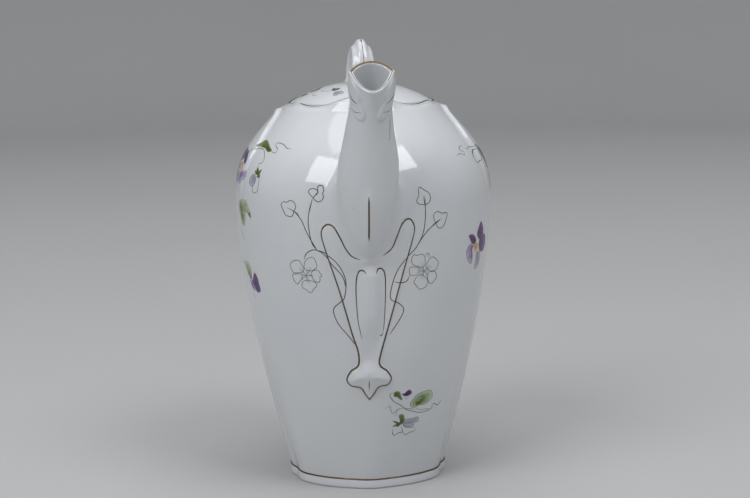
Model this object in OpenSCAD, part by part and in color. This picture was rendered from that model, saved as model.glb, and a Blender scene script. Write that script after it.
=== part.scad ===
// Porcelain chocolate pot with a tall spout, a strap handle and a lift-off lid.
// Millimetres. The origin is the centre of the foot on the table, the spout points to -Y and +Z is up.
// Azimuths are in degrees, counted from the spout round towards +X.

/* [Body] */
// Height at which the body is widest
belly_z = 141; // [135:1:147]
// Half width of the body at its widest
belly_r = 63.3; // [58:0.1:70]
// Half width of the body where it stands on the foot ring
waist_r = 38.9; // [36:0.1:42]
// Height of the top face that the gallery stands on and the lid rests on
seat_z = 185.3; // [183:0.1:188]
// Outer radius of the shoulder where it meets the gallery
neck_r = 38.3; // [37.8:0.1:39.5]
// Thickness of the cast wall
wall = 3.8; // [3:0.1:5]
// Thickness of the floor
floor_t = 5; // [4:0.1:7]
// Width of the flat ledge from the gallery's outside to the round opening
ledge_w = 8.8; // [8:0.1:10.5]
// Thickness of the ledge round that opening
ledge_t = 3.6; // [3:0.1:4.5]

/* [Side panels] */
// How far the side panels stand proud of the shoulder
panel_raise = 2; // [1:0.1:3]
// How far the tip of a side panel stays below the seat
panel_tip_drop = 0.9; // [0.5:0.1:3]
// How far the two lower corners of a side panel's arched top stay below the seat
panel_corner_drop = 4.8; // [3.3:0.1:7]
// How far the tip of a side panel curls outwards
panel_curl = 0.9; // [0:0.1:1.5]
// Depth of the grooves beside the side panels at the foot
groove_depth = 2.1; // [0.5:0.1:2.6]
// How much flatter than round the front and back faces are at the foot
foot_flat = 3.3; // [0:0.1:3.8]

/* [Foot] */
// Height of the foot ring
foot_h = 5; // [4:0.1:7]
// How far the foot ring stands out past the body
foot_out = 0.3; // [0:0.1:1]
// Inner radius of the foot ring
foot_bore_r = 31; // [26:0.1:33]
// Bevel at the bottom edge of the foot ring
foot_bevel = 0.8; // [0.4:0.1:1.5]

/* [Gallery] */
// Thickness of the gallery where it stands on the ledge
gallery_t = 4.1; // [3.5:0.1:4.5]
// Thickness of the gallery near its top
gallery_top_t = 2.2; // [1.8:0.1:3]
// Height of the gallery's lowest points above the ledge
gallery_low = 1.7; // [1.5:0.1:3]
// How much higher its peaks behind the spout and in front of the handle are
gallery_peak = 5.2; // [3:0.1:7]
// How much higher its four corner peaks are
gallery_corner = 1.1; // [0.3:0.1:2]

/* [Lid] */
// Clearance between the lid's edge and the gallery
lid_play = 0.6; // [0.4:0.1:1]
// Height of the lid's outer edge
lid_edge_h = 2; // [1.5:0.1:3]
// Rise of the dome above that edge
dome_rise = 9.2; // [7:0.1:12]
// Thickness of the lid
lid_t = 3.6; // [3:0.1:4.5]
// Depth of the collar that centres the lid
collar_h = 8; // [5:0.1:12]
// Thickness of the collar
collar_t = 3; // [2.4:0.1:4]
// Clearance between the collar and the opening, and under the lid
lid_gap = 0.4; // [0.3:0.05:0.6]
// How far the lid stands turned in its round seat
lid_turn = 6; // [-30:1:30]

/* [Finial] */
// Height of the finial's arch above the dome
finial_h = 17.8; // [14:0.1:22]
// Height of the small crest on the arch
crest_h = 3.6; // [1:0.1:5]
// Height of the rib that runs along the outside of the strap
rib_h = 0.7; // [0:0.1:1.5]
// Length of the finial over its two feet
finial_l = 21; // [18:0.1:28]
// Width of the finial's strap at its feet
finial_w = 13; // [10:0.1:16]
// Width of the finial's strap at its top
finial_top_w = 9.6; // [8:0.1:12]
// Thickness of the finial's strap
finial_t = 4; // [3:0.1:5]

/* [Spout] */
// How far the spout's lip and the handle reach out from the middle
reach = 97; // [92:0.5:104]
// Height of the lip's lowest point, at the front
lip_z = 198; // [195:0.5:202]
// Height of the lip's highest point, at the back
lip_back_z = 211; // [208:0.5:214]
// Front to back length of the lip, seen from above
lip_l = 17; // [14:0.5:20]
// Half width of the lip
lip_w = 10.9; // [9:0.1:12]
// Thickness of the spout's wall at the front and back of the lip
lip_t = 2; // [1.5:0.1:2.4]
// Thickness of the spout's wall at the two side points of the lip
lip_side_t = 3.3; // [2.5:0.1:4]
// Half width of the spout's root beside the relief
root_w = 11; // [9:0.1:11.4]
// How much wider the root spreads above the relief
root_flare = 7; // [3:0.1:8]
// Height of the root's lowest point
root_low_z = 119.6; // [116:0.2:122]
// Height of the root's highest point
root_high_z = 170; // [166:0.2:172]
// Radius of the pouring hole through the body's wall
pour_r = 8; // [6:0.1:9]
// Height of the pouring hole's middle
pour_z = 146; // [143:0.5:150]

/* [Relief] */
// Thickness of the relief at its edge
relief_edge = 0.8; // [0.5:0.1:1.5]
// Extra thickness of the long swelling in the relief's middle
relief_column = 1.8; // [0.5:0.1:3]
// Extra thickness of the bud at the relief's lower end
relief_bud = 1.8; // [0.5:0.1:3]
// Extra thickness of the relief's two ears
relief_ear = 0.7; // [0.2:0.1:1.5]
// Height of the relief's lowest point
relief_tip_z = 48.2; // [44:0.2:54]
// Height of the relief's two ears
relief_ear_z = 137.6; // [134:0.2:140]
// Half width of the relief over its two ears
relief_w = 21; // [20:0.1:23]

/* [Handle] */
// Height at which the handle's upper end meets the body
handle_top_z = 164; // [160:0.5:168]
// Height at which the handle's lower end meets the body
handle_low_z = 78; // [70:0.5:90]
// Height of the handle's highest point, measured to the middle of the strap
handle_peak_z = 182; // [178:0.5:184]
// Width of the handle's strap
handle_w = 11; // [9:0.1:14]
// Thickness of the handle's strap
handle_t = 7.4; // [6:0.1:9]
// Height of the thumb rest on the handle's upper bend
thumb_h = 2.4; // [0.5:0.1:4]

/* [Hidden] */

// Seam of slip between two pieces that were joined before firing
lute = 0.15;
round_fn = 96;

// Sizes that follow from the ones above
mouth_r = neck_r - ledge_w;
gallery_bore_r = neck_r - gallery_t;
gallery_low_z = seat_z + gallery_low;
lid_r = gallery_bore_r - lid_play;
panel_tip_z = seat_z - panel_tip_drop;
panel_corner_z = seat_z - panel_corner_drop;

porcelain = [0.93, 0.94, 0.95];

// Bezier curve through four control points, and an even run of points on it
function bezier(p, t) =
    pow(1 - t, 3) * p[0] + 3 * pow(1 - t, 2) * t * p[1] + 3 * (1 - t) * t * t * p[2] + pow(t, 3) * p[3];
function bezier_run(p, n) = [for (i = [0 : n]) bezier(p, i / n)];

// Smooth curve through a list of points, with n steps between neighbours
function knot(p, i) = p[max(0, min(len(p) - 1, i))];
function smooth_at(p, i, t) =
    let (a = knot(p, i - 1), b = knot(p, i), c = knot(p, i + 1), d = knot(p, i + 2))
    0.5 * (2 * b + (c - a) * t + (2 * a - 5 * b + 4 * c - d) * t * t + (3 * b - a - 3 * c + d) * pow(t, 3));
function smooth_run(p, n) =
    [for (i = [0 : len(p) - 2], k = [0 : n - 1]) smooth_at(p, i, k / n), p[len(p) - 1]];

// 0 below a, 1 above b and an even slope between
function ease(a, b, v) =
    let (t = max(0, min(1, (v - a) / (b - a))))
    t * t * (3 - 2 * t);

// A soft bump w wide, as a share of its height
function hump(off, w) = exp(-pow(off / w, 2));

// Side outline of the body as height and half width
lower_side = [[waist_r, foot_h], [belly_r - 0.8, foot_h + 86], [belly_r, belly_z - 11], [belly_r, belly_z]];
upper_side = [[belly_r, belly_z], [belly_r, belly_z + 23.6], [neck_r + 11.6, seat_z - 12.1],
              [neck_r + panel_raise, seat_z]];
side_run = concat(bezier_run(lower_side, 24), bezier_run(upper_side, 24));
side_table = [for (p = side_run) [p[1], p[0]]];
function side_r(z) = lookup(z, side_table);

// Angle from the middle of a side panel to its edge
function panel_half(z) =
    let (low = ease(foot_h, foot_h + 40, z), high = ease(belly_z - 20, seat_z, z))
    20.5 - 6.5 * low + 10 * high;

// Azimuth folded into the first quarter
function fold(az) = let (a = abs(az) % 180) a > 90 ? 180 - a : a;

// The shoulder below the panels, and the faces and grooves that fade out above the foot
function panel_lift(z) = panel_raise * ease(belly_z - 3, belly_z + 35, z);
function foot_fade(z) = 1 - ease(foot_h, foot_h + 72, z);
corner_az = 55;
groove_w = 5;
function face_cut(az, z) =
    let (a = fold(az), bow = a < corner_az ? 1 - pow(a / corner_az, 2) - 0.45 * hump(a, 12) : 0)
    foot_flat * bow * foot_fade(z);
function groove_cut(az, z) =
    let (off = (90 - fold(az) - panel_half(z)) / groove_w)
    groove_depth * exp(-off * off) * foot_fade(z);

// Radius of the plain body, and of the body with its raised side panels
function plain_r(az, z) = side_r(z) - panel_lift(z) - face_cut(az, z) - groove_cut(az, z);
function body_r(az, z) = plain_r(az, z) + (90 - fold(az) <= panel_half(z) ? panel_lift(z) : 0);

function polar(az, r, z) = [r * sin(az), -r * cos(az), z];

// Depth of the plain front or back surface at a place seen square on
function face_y(x, z, back) =
    let (r0 = side_r(z) - panel_lift(z), az = asin(max(-1, min(1, x / r0))), r = plain_r(az, z))
    (back ? 1 : -1) * sqrt(r * r - x * x);

// Skin through closed loops of equal length, ended by hub points or closed on itself
module skin(loops, hubs = []) {
    n = len(loops[0]);
    m = len(loops);
    ring_gap = len(hubs) == 0 ? m - 1 : m - 2;
    points = concat([for (loop = loops) each loop], hubs);
    function at(j, i) = (j % m) * n + i % n;
    sides = [for (j = [0 : ring_gap], i = [0 : n - 1])
             each [[at(j, i), at(j + 1, i), at(j + 1, i + 1)], [at(j, i), at(j + 1, i + 1), at(j, i + 1)]]];
    caps = len(hubs) == 0 ? [] :
           [for (i = [0 : n - 1]) each [[at(0, i), at(0, i + 1), m * n], [at(m - 1, i + 1), at(m - 1, i), m * n + 1]]];
    polyhedron(points, concat(sides, caps), convexity = 8);
}

// Columns of the body's skin: even steps on the broad faces, close ones at the panel edges
face_steps = 10;
edge_offsets = [-2.4, -0.7, 0.7, 3.5];
function quarter(z) =
    let (edge = 90 - panel_half(z), last = edge - 5)
    concat([for (i = [0 : face_steps]) last * i / face_steps], [for (d = edge_offsets) edge + d],
           [(edge + 3.5 + 90) / 2 + 1, 90]);
function columns(z) =
    let (q = quarter(z), n = len(q) - 1)
    concat([for (i = [0 : n - 1]) q[i]], [for (i = [n : -1 : 1]) 180 - q[i]],
           [for (i = [0 : n - 1]) 180 + q[i]], [for (i = [n : -1 : 1]) 360 - q[i]]);

// Top of a side panel: an arch with its tip in the middle of the side
function arch_z(az) =
    let (s = min(1, (90 - fold(az)) / panel_half(panel_corner_z)))
    panel_tip_z - (panel_tip_z - panel_corner_z) * pow(s, 1.6);

outer_steps = 17;
upper_steps = 9;
outer_z = concat([for (i = [0 : outer_steps]) bezier(lower_side, pow(i / outer_steps, 1.25))[1]],
                 [for (i = [1 : upper_steps]) belly_z + (panel_corner_z - 3 - belly_z) * i / upper_steps]);
function outer_loop(z) = [for (az = columns(z)) polar(az, body_r(az, z), z)];
function arch_loop(z) =
    [for (az = columns(z)) let (s = (90 - fold(az)) / 7)
     polar(az, body_r(az, arch_z(az)) + (s < 4 ? panel_curl * exp(-s * s) : 0), arch_z(az))];
function ledge_loop(z) =
    [for (az = columns(z)) let (h = min(seat_z - 0.25, arch_z(az) + 0.5)) polar(az, plain_r(az, h), h)];

// Cavity wall: it follows the body at the wall's thickness and turns in under the ledge
ceiling_z = seat_z - ledge_t;
cavity_z = [for (i = [12 : -1 : 0]) foot_h + floor_t + 4 + (ceiling_z - 6 - foot_h - floor_t - 4) * i / 12];
function cavity_r(z) = side_r(z) - panel_lift(z) - wall - (foot_flat + groove_depth) * foot_fade(z) / 2;

module body_shell() {
    az = columns(seat_z);
    function flat(r, z) = [for (a = az) polar(a, r, z)];
    color(porcelain)
    difference() {
        skin(concat([for (z = outer_z) outer_loop(z)],
                    [arch_loop(panel_corner_z), ledge_loop(panel_corner_z), flat(neck_r, seat_z),
                     flat(mouth_r, seat_z), flat(mouth_r, ceiling_z), flat(neck_r - wall, ceiling_z - 0.6)],
                    [for (z = cavity_z) flat(cavity_r(z), z)],
                    [flat(cavity_r(foot_h + floor_t) - 5, foot_h + floor_t)]),
             [[0, 0, foot_h], [0, 0, foot_h + floor_t]]);
        translate([0, 0, pour_z])
            rotate([90, 0, 0])
                cylinder(r = pour_r, h = reach, $fn = round_fn);
    }
}

module foot_ring() {
    az = columns(foot_h);
    function outline(out, z) = [for (a = az) polar(a, body_r(a, foot_h) + out, z)];
    color(porcelain)
    difference() {
        skin([outline(foot_out - foot_bevel, 0), outline(foot_out, foot_bevel), outline(foot_out, foot_h - 0.5),
              outline(0, foot_h)],
             [[0, 0, 0], [0, 0, foot_h]]);
        translate([0, 0, -1])
            cylinder(r = foot_bore_r, h = foot_h + 2, $fn = round_fn);
    }
}

// Scalloped top edge of the gallery: two tall peaks and four low ones
peak_az = 26;
corner_peak_az = 61;
function scallop_z(az) =
    let (a = fold(az))
    gallery_low_z + gallery_peak * exp(-pow(a / peak_az, 2.6)) + gallery_corner * hump(a - corner_peak_az, 10);

module gallery_ring() {
    n = 80;
    round_over = gallery_top_t * 0.4;
    top_r = gallery_bore_r + gallery_top_t;
    function rail(r, drop) = [for (i = [0 : n - 1]) let (a = 360 * i / n) polar(a, r, scallop_z(a) - drop)];
    function base(r) = [for (i = [0 : n - 1]) polar(360 * i / n, r, seat_z)];
    color(porcelain)
        skin([base(neck_r), rail(top_r, round_over), rail(top_r - gallery_top_t / 3, 0.1),
              rail(gallery_bore_r + gallery_top_t / 3, 0.1), rail(gallery_bore_r, round_over),
              base(gallery_bore_r)]);
}

// Lid: part of a sphere with a flat seat, and a collar below it
lid_z = seat_z + lid_gap;
edge_z = lid_z + lid_edge_h;
dome_r = (lid_r * lid_r + dome_rise * dome_rise) / (2 * dome_rise);
dome_mid = edge_z + dome_rise - dome_r;
collar_r = mouth_r - lid_gap;
function dome_z(r) = dome_mid + sqrt(dome_r * dome_r - r * r);
function arc_run(radius, mid, from_r, to_r, n) =
    [for (i = [0 : n]) let (x = from_r + (to_r - from_r) * i / n) [x, mid + sqrt(radius * radius - x * x)]];

module lid_dome() {
    hollow_r = collar_r - collar_t - 1;
    color(porcelain)
    rotate_extrude($fn = round_fn)
        polygon(concat([[hollow_r, lid_z], [lid_r - 0.4, lid_z], [lid_r, lid_z + 0.4]],
                       arc_run(dome_r, dome_mid, lid_r, 0, 16),
                       arc_run(dome_r - lid_t, dome_mid, 0, hollow_r, 10)));
}

module lid_collar() {
    color(porcelain)
    rotate_extrude($fn = round_fn)
        polygon([[collar_r - collar_t, lid_z], [collar_r, lid_z], [collar_r, lid_z - collar_h + 1.5],
                 [collar_r - 1, lid_z - collar_h], [collar_r - collar_t + 0.6, lid_z - collar_h],
                 [collar_r - collar_t, lid_z - collar_h + 0.6]]);
}

// Rounded strap section: x across the strap and n along its thickness
strap_sides = 24;
function strap_x(k, w) = let (c = cos(360 * k / strap_sides)) w / 2 * sign(c) * pow(abs(c), 0.6);
function strap_n(k, t) = let (s = sin(360 * k / strap_sides)) t / 2 * sign(s) * pow(abs(s), 0.75);

// Loops of a strap that follows a path in the YZ plane; the ends are laid on a surface
function along(path, i) =
    let (d = knot(path, i + 1) - knot(path, i - 1)) d / norm(d);
rib_w = 2.4;
function strap_loop(path, i, w, t, crest) =
    let (d = along(path, i), n = [-d[1], d[0]])
    [for (k = [0 : strap_sides - 1])
     let (x = strap_x(k, w), off = strap_n(k, t), up = off > 0 ? crest * exp(-pow(abs(x) / rib_w, 3)) : 0,
          p = path[i] + n * (off + up))
     [x, p[0], p[1]]];

module lid_finial() {
    top = dome_z(0) + finial_h - finial_t / 2;
    foot_y = (finial_l - finial_t) / 2;
    foot_z = dome_z(foot_y);
    rise = [[-foot_y, foot_z], [-foot_y - 2.5, foot_z + 10], [-foot_y + 3, top], [0, top]];
    half = bezier_run(rise, 10);
    whole = concat(half, [for (i = [9 : -1 : 0]) [-half[i][0], half[i][1]]]);
    n = len(whole) - 1;
    function wide(i) = finial_top_w + (finial_w - finial_top_w) * pow(abs(i / n - 0.5) * 2, 1.5);
    function crest(i) = (crest_h - rib_h) * hump(i / n - 0.5, 0.15) + rib_h;
    function land(loop) = [for (p = loop) [p[0], p[1], dome_z(norm([p[0], p[1]])) + lute]];
    body = [for (i = [0 : n]) strap_loop(whole, i, wide(i), finial_t, crest(i))];
    loops = [land(body[0]), for (i = [1 : n - 1]) body[i], land(body[n])];
    color(porcelain)
    rotate([0, 0, lid_turn])
        skin([for (loop = loops) [for (k = [strap_sides - 1 : -1 : 0]) loop[k]]],
             [[0, -foot_y, dome_z(foot_y) + lute], [0, foot_y, dome_z(foot_y) + lute]]);
}

// Spout: loops between a front rail and a back rail, from the slanted lip down to the root
spout_sides = 24;
front_rail = [[-reach, lip_z], [-reach + 14, lip_z - 18], [-belly_r - 20, root_low_z + 1.5],
              [face_y(0, root_low_z), root_low_z]];
back_rail = [[-reach + lip_l, lip_back_z], [-reach + lip_l + 4, lip_back_z - 15],
             [-belly_r - 8, root_high_z + 3], [face_y(0, root_high_z), root_high_z]];
function even_angle(i) = 360 * i / spout_sides;
function spout_loop(front, back, split, w, point) =
    let (mid = front + (back - front) * split)
    [for (i = [0 : spout_sides - 1])
     let (c = cos(even_angle(i)), s = abs(c) * pow(abs(c), point), p = mid + ((c > 0 ? front : back) - mid) * s)
     [w * sin(even_angle(i)), p[0], p[1]]];

// Root of the spout on the body: narrow between the relief's ears and wide above them
root_mid = (root_low_z + root_high_z) / 2;
root_rise = (root_high_z - root_low_z) / 2;
function root_half(z) = root_w + root_flare * ease(root_mid - root_rise / 2, root_mid + root_rise / 2, z);
function root_point(i) =
    let (s = sin(even_angle(i)), c = cos(even_angle(i)), z = root_mid - root_rise * c)
    [root_half(z) * sign(s) * pow(abs(s), c > 0 ? 0.5 : 0.5 - 0.3 * c), z];
function pour_point(i) = [pour_r * sin(even_angle(i)), pour_z - pour_r * cos(even_angle(i))];
function seat_loop(share) =
    [for (i = [0 : spout_sides - 1])
     let (p = pour_point(i) + (root_point(i) - pour_point(i)) * share)
     [p[0], face_y(p[0], p[1]) - lute, p[1]]];

// Pouring channel: round sections square to a curve from the lip to the pouring hole
channel_step = 0.9;
channel_r = lip_w - lip_side_t - channel_step;
lip_mid = [-reach + lip_l / 2, (lip_z + lip_back_z) / 2];
channel = [lip_mid, lip_mid + [9.5, -16.5], [-belly_r - 10, pour_z], [face_y(0, pour_z) - lute, pour_z]];
function channel_loop(t) =
    let (mid = bezier(channel, t), d = bezier(channel, t - 0.02) - bezier(channel, t + 0.02), u = d / norm(d),
         r = channel_r + (pour_r - channel_r) * t * t)
    [for (i = [0 : spout_sides - 1])
     let (c = r * cos(even_angle(i)))
     [r * sin(even_angle(i)), mid[0] - c * u[1], mid[1] + c * u[0]]];

module spout() {
    steps = [0.12, 0.26, 0.42, 0.6, 0.8];
    widths = [lip_w - 0.5, lip_w - 0.85, lip_w + 0.5, lip_w + 2.4, (root_w + root_flare + lip_w) / 2 - 0.4];
    split = 0.68;
    slope = atan2(lip_back_z - lip_z, lip_l);
    inset = lip_t * [cos(slope), sin(slope)];
    lip = spout_loop(front_rail[0], back_rail[0], split, lip_w, 0.7);
    lip_inside = spout_loop(front_rail[0] + inset, back_rail[0] - inset, split, lip_w - lip_side_t, 0.7);
    outside = concat([lip], [for (k = [0 : len(steps) - 1])
                             spout_loop(bezier(front_rail, steps[k]), bezier(back_rail, steps[k]),
                                        0.5 + 0.1 * (1 - steps[k]), widths[k], 0.12)],
                     [seat_loop(1)]);
    inside = concat([lip_inside], [for (t = [0.14, 0.32, 0.5, 0.68, 0.86]) channel_loop(t)], [seat_loop(0)]);
    out_run = smooth_run(outside, 3);
    in_run = smooth_run(inside, 2);
    color(porcelain)
        skin(concat([for (j = [len(out_run) - 1 : -1 : 0]) out_run[j]], in_run, [seat_loop(0.35), seat_loop(0.7)]));
}

// Relief under the spout: an outline cut from a skin that swells in the middle
relief_rise = relief_ear_z - relief_tip_z;
function relief_at(p) = [relief_w * p[0], relief_tip_z + relief_rise * p[1]];
relief_shares = [[0.15, 0.058], [0.38, 0.085], [0.47, 0.119], [0.38, 0.163], [0.224, 0.208], [0.238, 0.266],
                 [0.514, 0.452], [0.767, 0.669], [0.976, 0.881], [1, 0.949], [0.833, 1], [0.629, 0.973],
                 [0.524, 0.899], [0.362, 0.83]];
relief_side = [for (p = relief_shares) relief_at(p)];
relief_arch_z = root_low_z - 0.7;
relief_half = smooth_run(concat(relief_side, [[relief_w * 0.15, relief_arch_z + 0.3]]), 3);

// Thickness at a place: a plate with a swelling in the middle, a bud at the foot and two raised ears
function relief_t(x, z) =
    let (u = abs(x) / relief_w,
         v = (z - relief_tip_z) / relief_rise,
         column = relief_column * hump(u, 0.25) * ease(0.24, 0.4, v) * (1 - ease(0.67, 0.77, v)),
         bud = relief_bud * hump(u, 0.31) * hump(v - 0.115, 0.084),
         ear = relief_ear * hump(u - 0.79, 0.19) * ease(0.63, 0.86, v))
    relief_edge + column + bud + ear;

// Closed slab between two matching grids of points
module slab(outer, inner) {
    rows = len(outer);
    cols = len(outer[0]);
    total = rows * cols;
    function at(j, i, side) = side * total + j * cols + i;
    function pair(a, b, c, d) = [[a, b, c], [a, c, d]];
    points = concat([for (row = outer) each row], [for (row = inner) each row]);
    faces = concat(
        [for (j = [0 : rows - 2], i = [0 : cols - 2])
         each pair(at(j, i, 0), at(j + 1, i, 0), at(j + 1, i + 1, 0), at(j, i + 1, 0))],
        [for (j = [0 : rows - 2], i = [0 : cols - 2])
         each pair(at(j, i, 1), at(j, i + 1, 1), at(j + 1, i + 1, 1), at(j + 1, i, 1))],
        [for (i = [0 : cols - 2]) each pair(at(0, i, 0), at(0, i + 1, 0), at(0, i + 1, 1), at(0, i, 1))],
        [for (i = [0 : cols - 2])
         each pair(at(rows - 1, i + 1, 0), at(rows - 1, i, 0), at(rows - 1, i, 1), at(rows - 1, i + 1, 1))],
        [for (j = [0 : rows - 2]) each pair(at(j + 1, 0, 0), at(j, 0, 0), at(j, 0, 1), at(j + 1, 0, 1))],
        [for (j = [0 : rows - 2])
         each pair(at(j, cols - 1, 0), at(j + 1, cols - 1, 0), at(j + 1, cols - 1, 1), at(j, cols - 1, 1))]);
    polyhedron(points, faces, convexity = 4);
}

module spout_relief() {
    grid_x = [for (k = [-10 : 10]) relief_w * 0.11 * k];
    grid_z = [for (k = [-1 : 24]) relief_tip_z + relief_rise * k * 0.044];
    outline = concat([[0, relief_tip_z]], relief_half, [[0, relief_arch_z]],
                     [for (k = [len(relief_half) - 1 : -1 : 0]) [-relief_half[k][0], relief_half[k][1]]]);
    color(porcelain)
    intersection() {
        slab([for (z = grid_z) [for (x = grid_x) [x, face_y(x, z) - lute - relief_t(x, z), z]]],
             [for (z = grid_z) [for (x = grid_x) [x, face_y(x, z) - lute, z]]]);
        rotate([90, 0, 0])
            linear_extrude(reach)
                polygon(outline);
    }
}

// Handle: a strap from the shoulder over a high bow and down to the body again
module handle() {
    out_y = reach - handle_t / 2 - rib_h;
    top_y = face_y(0, handle_top_z, true);
    low_y = face_y(0, handle_low_z, true);
    bow_z = handle_top_z - 14;
    upper = [[top_y, handle_top_z], [top_y + 10, handle_peak_z + 2], [out_y, handle_peak_z + 10], [out_y, bow_z]];
    lower = [[out_y, bow_z], [out_y, bow_z - 34], [low_y + 16, handle_low_z + 18], [low_y, handle_low_z]];
    path = concat(bezier_run(upper, 12), [for (i = [1 : 14]) bezier(lower, i / 14)]);
    n = len(path) - 1;
    function wide(i) = handle_w + 5 * pow(1 - i / n, 6) + 4 * pow(i / n, 6);
    function crest(i) = rib_h + (thumb_h - rib_h) * hump(i - 7, 3);
    function land(loop) = [for (p = loop) [p[0], face_y(p[0], p[2], true) + lute, p[2]]];
    body = [for (i = [0 : n]) strap_loop(path, i, wide(i), handle_t, crest(i))];
    loops = [land(body[0]), for (i = [1 : n - 1]) body[i], land(body[n])];
    color(porcelain)
        skin([for (loop = loops) [for (k = [strap_sides - 1 : -1 : 0]) loop[k]]],
             [[0, top_y + lute, handle_top_z], [0, low_y + lute, handle_low_z]]);
}

body_shell();
foot_ring();
gallery_ring();
spout();
spout_relief();
handle();
lid_dome();
lid_collar();
lid_finial();
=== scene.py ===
import math

import bpy
import numpy as np
from mathutils import Matrix, Vector
from mathutils.bvhtree import BVHTree


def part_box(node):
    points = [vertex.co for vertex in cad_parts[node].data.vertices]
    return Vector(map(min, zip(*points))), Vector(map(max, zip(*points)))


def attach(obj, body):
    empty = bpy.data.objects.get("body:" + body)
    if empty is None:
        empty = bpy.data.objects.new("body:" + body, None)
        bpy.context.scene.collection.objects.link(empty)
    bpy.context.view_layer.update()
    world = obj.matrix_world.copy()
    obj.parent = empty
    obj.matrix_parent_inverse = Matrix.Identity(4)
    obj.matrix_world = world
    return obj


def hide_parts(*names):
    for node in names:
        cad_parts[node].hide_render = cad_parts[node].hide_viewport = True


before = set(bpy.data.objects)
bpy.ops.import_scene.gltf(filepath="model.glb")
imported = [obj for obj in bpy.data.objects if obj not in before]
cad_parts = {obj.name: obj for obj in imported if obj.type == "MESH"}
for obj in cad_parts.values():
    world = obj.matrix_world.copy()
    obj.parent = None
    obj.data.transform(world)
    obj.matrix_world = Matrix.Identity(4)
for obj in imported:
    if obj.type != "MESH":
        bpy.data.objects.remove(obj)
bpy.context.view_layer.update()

# The pot's body is slip-cast white porcelain: an ovoid wall on a low angular foot ring, with a raised
# panel on each side of the shoulder and a scalloped gallery that keeps the lid in place. It left its
# mould in one piece, so wall, foot, gallery and the ornament below the spout are one skin here.
MM = 0.001


def span(node):
    """Lowest and highest corner of a piece of the frame, in millimetres."""
    low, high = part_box(node)
    return np.array(low) / MM, np.array(high) / MM


shell_high = span("body_shell")[1]
foot_h = span("foot_ring")[1][2]
foot_out = 0.3
waist_r = span("foot_ring")[1][0] - foot_out
belly_r = shell_high[0]
belly_z = 141.0
seat_z = shell_high[2]
neck_r = span("gallery_ring")[1][0]
gallery_bore_r = neck_r - 4.1
gallery_top_t = 2.2
gallery_low_z = seat_z + 1.7
gallery_peak = 5.2
gallery_corner = 1.1
gallery_round = 0.88
mouth_r = neck_r - 8.8
foot_bore_r = 31.0
wall = 3.8
floor_t = 5.0
panel_raise = 2.0
panel_tip_z = seat_z - 0.9
panel_arch = 14.4
panel_curl = 0.7
panel_at_foot, panel_at_belly, panel_at_top = 18.5, 16.5, 18.0
edge_soft = 0.4
foot_flat = 3.0
foot_corner = 55
foot_fade_h = 72
groove_depth = 1.1
groove_w = 7
lean_above_seat = 0.9
pour_r = 8.0
pour_z = 146.0


def ease(a, b, v):
    """0 below a, 1 above b and an even slope between."""
    t = np.clip((np.asarray(v, float) - a) / (b - a), 0, 1)
    return t * t * (3 - 2 * t)


def hump(off, width):
    return np.exp(-(np.asarray(off, float) / width) ** 2)


def bezier(p, t):
    p = np.asarray(p, float)
    t = np.asarray(t, float)[..., None]
    return (1 - t) ** 3 * p[0] + 3 * (1 - t) ** 2 * t * p[1] + 3 * (1 - t) * t * t * p[2] + t ** 3 * p[3]


def smooth_run(p, n):
    """Smooth curve through the points p, with n steps between neighbours."""
    p = np.asarray(p, float)
    padded = np.concatenate([p[:1], p, p[-1:]])
    t = np.arange(n)[:, None] / n
    run = []
    for a, b, c, d in zip(padded, padded[1:], padded[2:], padded[3:]):
        run.append(0.5 * (2 * b + (c - a) * t + (2 * a - 5 * b + 4 * c - d) * t ** 2
                          + (3 * b - a - 3 * c + d) * t ** 3))
    return np.concatenate(run + [p[-1:]])


def arc_length(run):
    return np.concatenate([[0], np.cumsum(np.linalg.norm(np.diff(run, axis=0), axis=1))])


def between_places(run, index):
    """Rows of a run at broken indices."""
    return np.stack([np.interp(index, np.arange(len(run)), axis) for axis in run.T], -1)


lower_side = [(waist_r, foot_h), (belly_r - 0.8, foot_h + 86), (belly_r, belly_z - 11), (belly_r, belly_z)]
upper_side = [(belly_r, belly_z), (belly_r, belly_z + 23.6), (neck_r + 11.6, seat_z - 12.1),
              (neck_r + panel_raise, seat_z)]
side_run = np.concatenate([bezier(lower_side, np.linspace(0, 1, 200)), bezier(upper_side, np.linspace(0, 1, 200))])


def side_r(z):
    beyond = np.maximum(np.asarray(z, float) - seat_z, 0)
    return np.interp(z, side_run[:, 1], side_run[:, 0]) - lean_above_seat * beyond


def panel_half(z):
    """Angle from the middle of a side panel to its edge, in degrees."""
    return (panel_at_foot + (panel_at_belly - panel_at_foot) * ease(foot_h, foot_h + 40, z)
            + (panel_at_top - panel_at_belly) * ease(belly_z - 20, seat_z - 20, z))


def fold(az):
    """Angle from the middle of the front or the back, whichever is nearer."""
    a = np.abs(az) % 180
    return np.where(a > 90, 180 - a, a)


def panel_lift(z):
    return panel_raise * ease(belly_z - 3, belly_z + 35, z)


def foot_fade(z):
    return 1 - ease(foot_h, foot_h + foot_fade_h, z)


def arch_z(az):
    """Height of a side panel's arched top edge."""
    return panel_tip_z - panel_arch * np.minimum(1, (90 - fold(az)) / panel_half(seat_z)) ** 2


def plain_r(az, z):
    """Radius of the wall without its side panels, with the flats and grooves that fade out above the foot."""
    a = fold(az)
    bow = np.where(a < foot_corner, 1 - (a / foot_corner) ** 2 - 0.45 * hump(a, 12), 0)
    groove = groove_depth * hump(90 - a - panel_half(z), groove_w)
    return side_r(z) - panel_lift(z) - (foot_flat * bow + groove) * foot_fade(z)


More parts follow.
